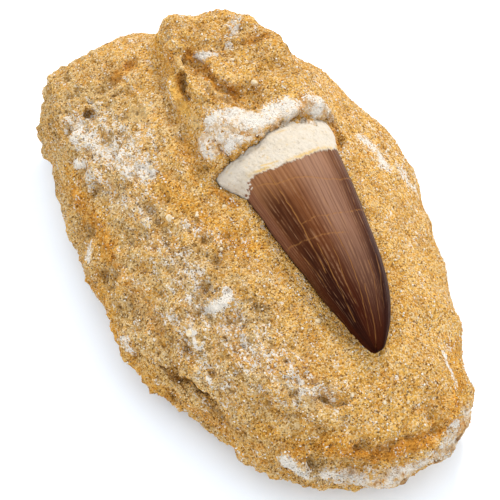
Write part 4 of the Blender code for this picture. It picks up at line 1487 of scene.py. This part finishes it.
def sow(name, count, shortest, longest, on_chalk, on_rust, seed):
    """One mesh of many grains that are sunk into the stone."""
    random = np.random.RandomState(seed)
    places, facing = places_on(stone, count, on_chalk, on_rust, random)
    far = np.array([tooth_tree.find_nearest(Vector(p), CLEAR_OF_TOOTH)[0] is None for p in places])
    places, facing = places[far], facing[far]
    one_grain = bmesh.new()
    bmesh.ops.create_icosphere(one_grain, subdivisions=1, radius=0.5)
    ball = np.array([v.co for v in one_grain.verts])
    sides = np.array([[v.index for v in f.verts] for f in one_grain.faces])
    one_grain.free()
    total = len(places)
    size = shortest + (longest - shortest) * random.random((total, 1)) ** SMALL_POWER
    shape = ball[None] * (size * (FLATTEST + FLATNESS_RANGE * random.random((total, 3))))[:, None, :]
    spin = np.linalg.qr(random.normal(size=(total, 3, 3)))[0]
    # A turn that also mirrors would put the faces inside out, so it is turned back.
    spin *= np.sign(np.linalg.det(spin))[:, None, None]
    shape = np.einsum("nij,nvj->nvi", spin, shape)
    centres = places + facing * size * (0.5 - SUNK_SHARE) * THICKNESS_SHARE
    vertices = np.clip((centres[:, None] + shape).reshape(-1, 3), box_low, box_high)
    faces = (sides[None] + (np.arange(total) * len(ball))[:, None, None]).reshape(-1, 3)
    mesh = bpy.data.meshes.new(name)
    mesh.vertices.add(len(vertices))
    mesh.vertices.foreach_set("co", (vertices * MM).astype(np.float32).ravel())
    mesh.loops.add(len(faces) * 3)
    mesh.loops.foreach_set("vertex_index", faces.astype(np.int32).ravel())
    mesh.polygons.add(len(faces))
    mesh.polygons.foreach_set("loop_start", np.arange(0, len(faces) * 3, 3, dtype=np.int32))
    mesh.update(calc_edges=True)
    return object_of(name, mesh)


print("kinds of grain", len(GRAINS), "sunk by", SUNK_SHARE, "of their length")

# %% [markdown]
# ## The finish of the grains
# Quartz is cloudy, amber grains hold iron and shell flecks are chalky, but none of them is of one even
# colour. Each grain could store its own colour. At this size a soft cloud between two colours looks the
# same and takes only a few nodes. Each kind is one mesh, so that it can have its own pair of colours.

# %% Finish and sow the grains
GRAIN_CLOUDS = (0.6, 2, 0.6)
GRAIN_CLOUD_EDGE = (0.35, 0.65)
GRAIN_ROUGHNESS = 0.8
GRAIN_GLOSS = 0.15


def grain_finish(name, one, other):
    """Grains of one kind, each a little different."""
    finish, tree, shader = new_finish(name)
    share = step(tree, noise_of(tree, place_of(tree), *GRAIN_CLOUDS), *GRAIN_CLOUD_EDGE)
    feed(tree, shader.inputs["Base Color"], blend_of(tree, share, one, other))
    shader.inputs["Roughness"].default_value = GRAIN_ROUGHNESS
    shader.inputs["Specular IOR Level"].default_value = GRAIN_GLOSS
    return finish


grains = []
for seed, (name, (count, shortest, longest, on_chalk, on_rust, one, other)) in enumerate(GRAINS.items()):
    piece = sow(name, count, shortest, longest, on_chalk, on_rust, seed)
    piece.data.materials.append(grain_finish(name, one, other))
    grains.append(piece)
    print(name, len(piece.data.polygons), "triangles")

# %% [markdown]
# ## Pale pebbles
# A few grains are a millimetre or more long and easy to see, so chance can't place them. Each is a ball
# with a softly lumpy skin, squashed and half sunk where the stone lies nearest to its middle.

# %% Pebbles
# Each pebble: its middle and its length in mm.
PEBBLES = (
    ((-17.5, 17.7, 28.8), 1.5), ((-18.9, 16.9, 28.5), 0.9), ((-19.2, 4.9, 27.3), 1.9),
    ((-14.8, 2.2, 28.7), 1.0), ((-13.9, 2.9, 28.9), 0.8), ((-8.2, 1.9, 28.5), 1.2),
    ((-10.7, 3.1, 28.6), 0.9), ((30.3, -3.7, 20.5), 1.0), ((32.3, 3.7, 20.8), 1.1),
    ((26, 0.5, 24.6), 0.9), ((25.4, 2.5, 25.4), 1.0), ((22.2, -19.3, 22.4), 0.9),
    ((-4.7, -30.3, 27.1), 1.4), ((-26.6, -18.5, 22.4), 1.8), ((-6.4, -46.4, 24.9), 1.3),
    ((-1.2, -49.9, 23.2), 1.1), ((2.9, -51.7, 22.7), 0.9), ((-13.5, -7.4, 28.2), 1.0),
    ((-23.7, 8.2, 25.6), 1.1), ((9, 21.6, 36.8), 2.0), ((8.3, 30.2, 36), 1.2),
)
PEBBLE_COLOUR = (0.66, 0.56, 0.40)
PEBBLE_SHADE = (0.52, 0.38, 0.20)
PEBBLE_LUMPS = 0.12
# The least width and thickness as shares of the length, and how much they vary.
PEBBLE_WIDTH = 0.75
PEBBLE_THICKNESS = 0.6
PEBBLE_VARIETY = 0.1


def bury_pebbles(name):
    """The larger grains, each half sunk into the stone where it lies nearest."""
    stone_tree = tree_of(stone)
    random = np.random.RandomState(len(PEBBLES))
    pebbles = bmesh.new()
    for middle, length in PEBBLES:
        place = stone_tree.find_nearest(Vector(middle))[0]
        made = bmesh.ops.create_icosphere(pebbles, subdivisions=2, radius=length / 2)["verts"]
        turned = Vector(random.normal(size=3)).to_track_quat("X", "Z").to_matrix()
        width = PEBBLE_WIDTH + PEBBLE_VARIETY * random.random()
        thickness = PEBBLE_THICKNESS + PEBBLE_VARIETY * random.random()
        squash = Vector((1, width, thickness))
        for vert in made:
            lump = 1 + PEBBLE_LUMPS * noise.noise(vert.co * 2 / length + Vector(middle))
            vert.co = turned @ (vert.co * lump * squash) + place
    bmesh.ops.scale(pebbles, vec=(MM, MM, MM), verts=pebbles.verts)
    mesh = bpy.data.meshes.new(name)
    pebbles.to_mesh(mesh)
    pebbles.free()
    obj = object_of(name, mesh)
    obj.data.shade_smooth()
    return obj


pebbles = bury_pebbles("pale_pebbles")
pebbles.data.materials.append(grain_finish("pale_pebbles", PEBBLE_COLOUR, PEBBLE_SHADE))
grains.append(pebbles)
print("pebbles", len(PEBBLES), "with", len(pebbles.data.polygons), "triangles")

# %% [markdown]
# ## Shades of the enamel
# Fresh enamel of such a reptile is white. In the ground it takes up iron and manganese, and turns from
# reddish brown at the root to nearly black at the tip. Light and shade are painted over that colour as
# bands that follow the turn round the tooth: painted shade on the flanks, a painted highlight along the
# left edge, a painted greyish reflection on the right rim, a broad painted sheen down the crest, and a
# painted sheen where the enamel ends at the root.

# %% Enamel shades
# A painted sheen, lighter where the enamel ends at the root.
ENAMEL_ROOT_SHEEN = (0.24, 0.105, 0.045)
ENAMEL_ROOT_END = (0.135, 0.046, 0.015)
ENAMEL_MIDDLE = (0.108, 0.033, 0.010)
ENAMEL_LOW = (0.064, 0.017, 0.005)
ENAMEL_TIP = (0.036, 0.006, 0.001)
# Painted shade on the flanks, and also the colour of the dark striae and furrows.
ENAMEL_SHADE = (0.42, 0.34, 0.30)
# A painted highlight along the left edge of the crown, where it rounds over.
ENAMEL_EDGE_HIGHLIGHT = (0.20, 0.085, 0.05)
# A painted greyish reflection along the right rim.
ENAMEL_RIM_REFLECTION = (0.10, 0.06, 0.048)
# A painted highlight: the broad sheen down the crest.
ENAMEL_SHEEN = (0.265, 0.145, 0.095)
ENAMEL_ALONG = ((0.0, ENAMEL_ROOT_SHEEN), (0.13, ENAMEL_ROOT_END), (0.45, ENAMEL_MIDDLE),
                (0.66, ENAMEL_LOW), (0.94, ENAMEL_TIP))
# Along Y, in mm: where each band starts, and where it is full.
CROWN_SPAN = (2, -40)
SHADE_SPAN = (0, -8)
EDGE_HIGHLIGHT_SPAN = (-24, -8)
SHEEN_SPAN = (-42, -8)
# The same round the tooth, in turns.
LEFT_SHADE_ON = (-0.72, -0.6)
LEFT_SHADE_OFF = (-0.24, -0.42)
RIGHT_SHADE_ON = (0.3, 0.48)
EDGE_HIGHLIGHT_ON = (-0.66, -0.78)
RIM_REFLECTION_ON = (0.58, 0.66)
SHEEN_ON = (-0.22, 0.12)
SHEEN_OFF = (0.52, 0.22)
SHADE_LEAST = 0.45
SHADE_BLOTCH = 0.8
SHEEN_LEAST = 0.42
SHEEN_STRIA = 0.6
RIGHT_SHADE_SHARE = 0.75
EDGE_HIGHLIGHT_SHARE = 0.7
RIM_REFLECTION_SHARE = 0.3


def enamel_shades(tree, turned, along_y, blotch, striae):
    """The colour along the crown, with its painted shade, highlight, rim reflection and sheen."""
    # Reddish brown at the root to nearly black at the tip, lighter by a painted sheen where the enamel ends.
    colour = ramp_of(tree, step(tree, along_y, *CROWN_SPAN), ENAMEL_ALONG)
    # Painted shade: blotchy on the left flank, and a band on the right flank.
    shade = share_of(tree, step(tree, turned, *LEFT_SHADE_ON), step(tree, turned, *LEFT_SHADE_OFF))
    shade = share_of(tree, shade, sums(tree, "ADD", SHADE_LEAST, share_of(tree, blotch, SHADE_BLOTCH)))
    shade = share_of(tree, shade, step(tree, along_y, *SHADE_SPAN))
    right_shade = share_of(tree, step(tree, turned, *RIGHT_SHADE_ON), RIGHT_SHADE_SHARE)
    shade = sums(tree, "MAXIMUM", shade, right_shade)
    colour = blend_of(tree, shade, colour, ENAMEL_SHADE, "MULTIPLY")
    # Painted highlight along the left edge.
    edge_highlight = share_of(tree, step(tree, turned, *EDGE_HIGHLIGHT_ON), step(tree, along_y, *EDGE_HIGHLIGHT_SPAN))
    colour = blend_of(tree, share_of(tree, edge_highlight, EDGE_HIGHLIGHT_SHARE), colour, ENAMEL_EDGE_HIGHLIGHT)
    # Painted reflection along the right rim.
    rim_reflection = share_of(tree, step(tree, turned, *RIM_REFLECTION_ON), RIM_REFLECTION_SHARE)
    colour = blend_of(tree, rim_reflection, colour, ENAMEL_RIM_REFLECTION)
    # Painted highlight: a broad sheen down the crest, broken up by the striae.
    sheen = share_of(tree, step(tree, turned, *SHEEN_ON), step(tree, turned, *SHEEN_OFF))
    sheen = share_of(tree, sheen, step(tree, along_y, *SHEEN_SPAN))
    sheen = share_of(tree, sheen, sums(tree, "ADD", SHEEN_LEAST, share_of(tree, striae, SHEEN_STRIA)))
    return blend_of(tree, sheen, colour, ENAMEL_SHEEN)


print("stops along the crown", len(ENAMEL_ALONG))

# %% [markdown]
# ## Striae and ridges
# The crown is drawn out in fine striae, with narrow pale ridges between dark furrows. They run from the
# root to the tip and crowd there. Noise alone gives the striae. A ridge repeats evenly, so it is a sine of
# the turn that noise sways, and it comes and goes along its way.

# %% Striae and ridges
RIDGE_TURN = 0.06
RIDGE_LENGTH = 2.6
RIDGE_SWAY = 16.0
# Clouds on the lines: how large, how many finer layers, and how rough.
STRIA_CLOUDS = (1.0, 3, 0.65)
SWAY_CLOUDS = (6.0, 3)
COMING_CLOUDS = (2.6, 3)
COMING_EDGE = (0.3, 0.56)
SHORT_CLOUDS = (1.0, 3, 0.6)
SHORT_EDGE = (0.4, 0.6)
STRIA_PALE = (0.27, 0.14, 0.07)
PALE_STRIA = (0.53, 0.68)
PALE_STRIA_SPAN = (-40, -12)
PALE_STRIA_SHARE = 0.12
DEEP_STRIA = (0.5, 0.36)
DEEP_STRIA_SHARE = 0.28
CREST_POWER = 4
CREST_SPAN = (-43, -26)
CREST_SHARE = 0.52
FURROW = (0.25, 0.03)
FURROW_SHARE = 0.4


def drawn_along(tree, turned, along_y, width, length):
    """Places that are this much of a turn wide and this many millimetres long."""
    lines = tree.nodes.new("ShaderNodeCombineXYZ")
    feed(tree, lines.inputs["X"], share_of(tree, turned, 1 / width))
    feed(tree, lines.inputs["Y"], share_of(tree, along_y, 1 / length))
    return lines.outputs[0]


def ridges_of(tree, turned, lines):
    """Ridges along the crown, from 0 in a furrow to 1 on a crest."""
    sway = noise_of(tree, lines, *SWAY_CLOUDS)
    phase = sums(tree, "ADD", share_of(tree, turned, 2 * math.pi / RIDGE_TURN),
                 share_of(tree, sway, RIDGE_SWAY))
    ridge = sums(tree, "ADD", 0.5, share_of(tree, sums(tree, "SINE", phase), 0.5))
    return share_of(tree, ridge, step(tree, noise_of(tree, lines, *COMING_CLOUDS), *COMING_EDGE))


def lines_over(tree, turned, along_y, colour, striae, ridge):
    """Draw the striae and ridges on the enamel."""
    pale = share_of(tree, step(tree, striae, *PALE_STRIA), step(tree, along_y, *PALE_STRIA_SPAN))
    colour = blend_of(tree, share_of(tree, pale, PALE_STRIA_SHARE), colour, STRIA_PALE)
    deep = share_of(tree, step(tree, striae, *DEEP_STRIA), DEEP_STRIA_SHARE)
    colour = blend_of(tree, deep, colour, ENAMEL_SHADE, "MULTIPLY")
    short = drawn_along(tree, turned, along_y, RIDGE_TURN, RIDGE_LENGTH)
    here = step(tree, noise_of(tree, short, *SHORT_CLOUDS), *SHORT_EDGE)
    crest = share_of(tree, sums(tree, "POWER", ridge, CREST_POWER), here)
    crest = share_of(tree, share_of(tree, crest, CREST_SHARE), step(tree, along_y, *CREST_SPAN))
    colour = blend_of(tree, crest, colour, STRIA_PALE)
    furrow = share_of(tree, step(tree, ridge, *FURROW), FURROW_SHARE)
    return blend_of(tree, furrow, colour, ENAMEL_SHADE, "MULTIPLY")


print("ridges round the side that shows", round(2 / RIDGE_TURN))

# %% [markdown]
# ## Bone
# The bone of the root is creamy, chalky and full of pores. The pits that were cut into the skin are
# only the large ones, so noise adds the small ones as dark specks, and the ochre that was stored on the
# points stains both.

# %% Bone
BONE = (0.58, 0.512, 0.42)
BONE_GREY = (0.555, 0.48, 0.375)
BONE_STAIN = (0.58, 0.38, 0.13)
PORE = (0.16, 0.10, 0.05)
GREY_BONE_CLOUDS = (2.0, 4, 0.6)
GREY_BONE_EDGE = (0.42, 0.66)
SMALL_BONE_CLOUDS = (0.7, 4, 0.75)
SMALL_BONE_EDGE = (0.45, 0.7)
MOTTLED_SHARE = 0.5
STAIN_CLOUDS = (1.4, 4, 0.7)
STAIN_EDGE = (0.56, 0.72)
STAIN_SHARE = 0.42
OCHRE_SHARE = 0.95
PORE_CLOUDS = (0.42, 3, 0.65)
PORE_EDGE = (0.62, 0.7)
PORE_SHARE = 0.45
PIT_PORE_SHARE = 0.9


def bone_of(tree, place):
    """Cream bone with grey clouds, ochre stains and dark pores."""
    cloudy = step(tree, noise_of(tree, place, *GREY_BONE_CLOUDS), *GREY_BONE_EDGE)
    bone = blend_of(tree, cloudy, BONE, BONE_GREY)
    mottled = step(tree, noise_of(tree, place, *SMALL_BONE_CLOUDS), *SMALL_BONE_EDGE)
    bone = blend_of(tree, share_of(tree, mottled, MOTTLED_SHARE), bone, BONE_GREY)
    stain = share_of(tree, step(tree, noise_of(tree, place, *STAIN_CLOUDS), *STAIN_EDGE), STAIN_SHARE)
    stain = sums(tree, "MAXIMUM", stain, share_of(tree, value_of(tree, "ochre"), OCHRE_SHARE))
    bone = blend_of(tree, stain, bone, BONE_STAIN)
    pores = step(tree, noise_of(tree, place, *PORE_CLOUDS), *PORE_EDGE)
    pores = sums(tree, "MAXIMUM", pores, share_of(tree, value_of(tree, "pits"), PIT_PORE_SHARE))
    return blend_of(tree, share_of(tree, pores, PORE_SHARE), bone, PORE)


print("pores", PORE_CLOUDS[0], "mm wide")

# %% [markdown]
# ## Enamel and bone together
# The tooth is one skin, so it has one finish, and the stored enamel mask parts the two. Two materials
# would meet along the edges of triangles, in a saw-toothed line. Enamel stays smooth, so it keeps a dull
# gloss that the striae break up, and clay fills its cracks.

# %% Enamel and bone finish
CLAY = (0.30, 0.13, 0.035)
CLAY_SHARE = 0.9
BLOTCH_CLOUDS = (3.0, 3)
BONE_ROUGHNESS = 0.9
ENAMEL_GLOSS = 0.5
BLOTCH_ROUGHNESS = 0.08
TOOTH_SPECULAR = 0.035
STRIA_PART = 0.6
RIDGE_PART = 0.3
STRIA_RELIEF = 0.12
BONE_GRAIN_CLOUDS = (0.45, 4, 0.7)
BONE_GRAIN_RELIEF = 0.25


def tooth_finish():
    """Brown enamel with clay in its cracks, and cream bone above it."""
    finish, tree, shader = new_finish("enamel")
    place = place_of(tree)
    axes = tree.nodes.new("ShaderNodeSeparateXYZ")
    feed(tree, axes.inputs[0], place)
    along_y = axes.outputs["Y"]
    turned = value_of(tree, "turn")
    lines = drawn_along(tree, turned, along_y, STRIA_TURN, STRIA_LENGTH)
    striae = noise_of(tree, lines, *STRIA_CLOUDS)
    blotch = noise_of(tree, place, *BLOTCH_CLOUDS)
    ridge = ridges_of(tree, turned, lines)
    colour = enamel_shades(tree, turned, along_y, blotch, striae)
    colour = lines_over(tree, turned, along_y, colour, striae, ridge)
    colour = blend_of(tree, share_of(tree, value_of(tree, "filled"), CLAY_SHARE), colour, CLAY)
    enamelled = value_of(tree, "enamel")
    feed(tree, shader.inputs["Base Color"], blend_of(tree, enamelled, bone_of(tree, place), colour))
    rough = sums(tree, "SUBTRACT", BONE_ROUGHNESS, share_of(tree, enamelled, ENAMEL_GLOSS))
    rough = sums(tree, "ADD", rough, share_of(tree, blotch, BLOTCH_ROUGHNESS))
    feed(tree, shader.inputs["Roughness"], rough)
    shader.inputs["Specular IOR Level"].default_value = TOOTH_SPECULAR
    relief = sums(tree, "ADD", share_of(tree, striae, STRIA_PART), share_of(tree, ridge, RIDGE_PART))
    on_enamel = bump_of(tree, share_of(tree, relief, enamelled), STRIA_RELIEF)
    grainy = share_of(tree, noise_of(tree, place, *BONE_GRAIN_CLOUDS), sums(tree, "SUBTRACT", 1, enamelled))
    feed(tree, shader.inputs["Normal"], bump_of(tree, grainy, BONE_GRAIN_RELIEF, on_enamel))
    return finish


tooth.data.materials.clear()
tooth.data.materials.append(tooth_finish())
print("nodes in the enamel finish", len(tooth.data.materials[0].node_tree.nodes))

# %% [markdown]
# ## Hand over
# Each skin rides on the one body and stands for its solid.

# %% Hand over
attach(stone, "root")
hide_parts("stone")
for piece in grains:
    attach(piece, "root")
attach(tooth, "root")
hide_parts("tooth")
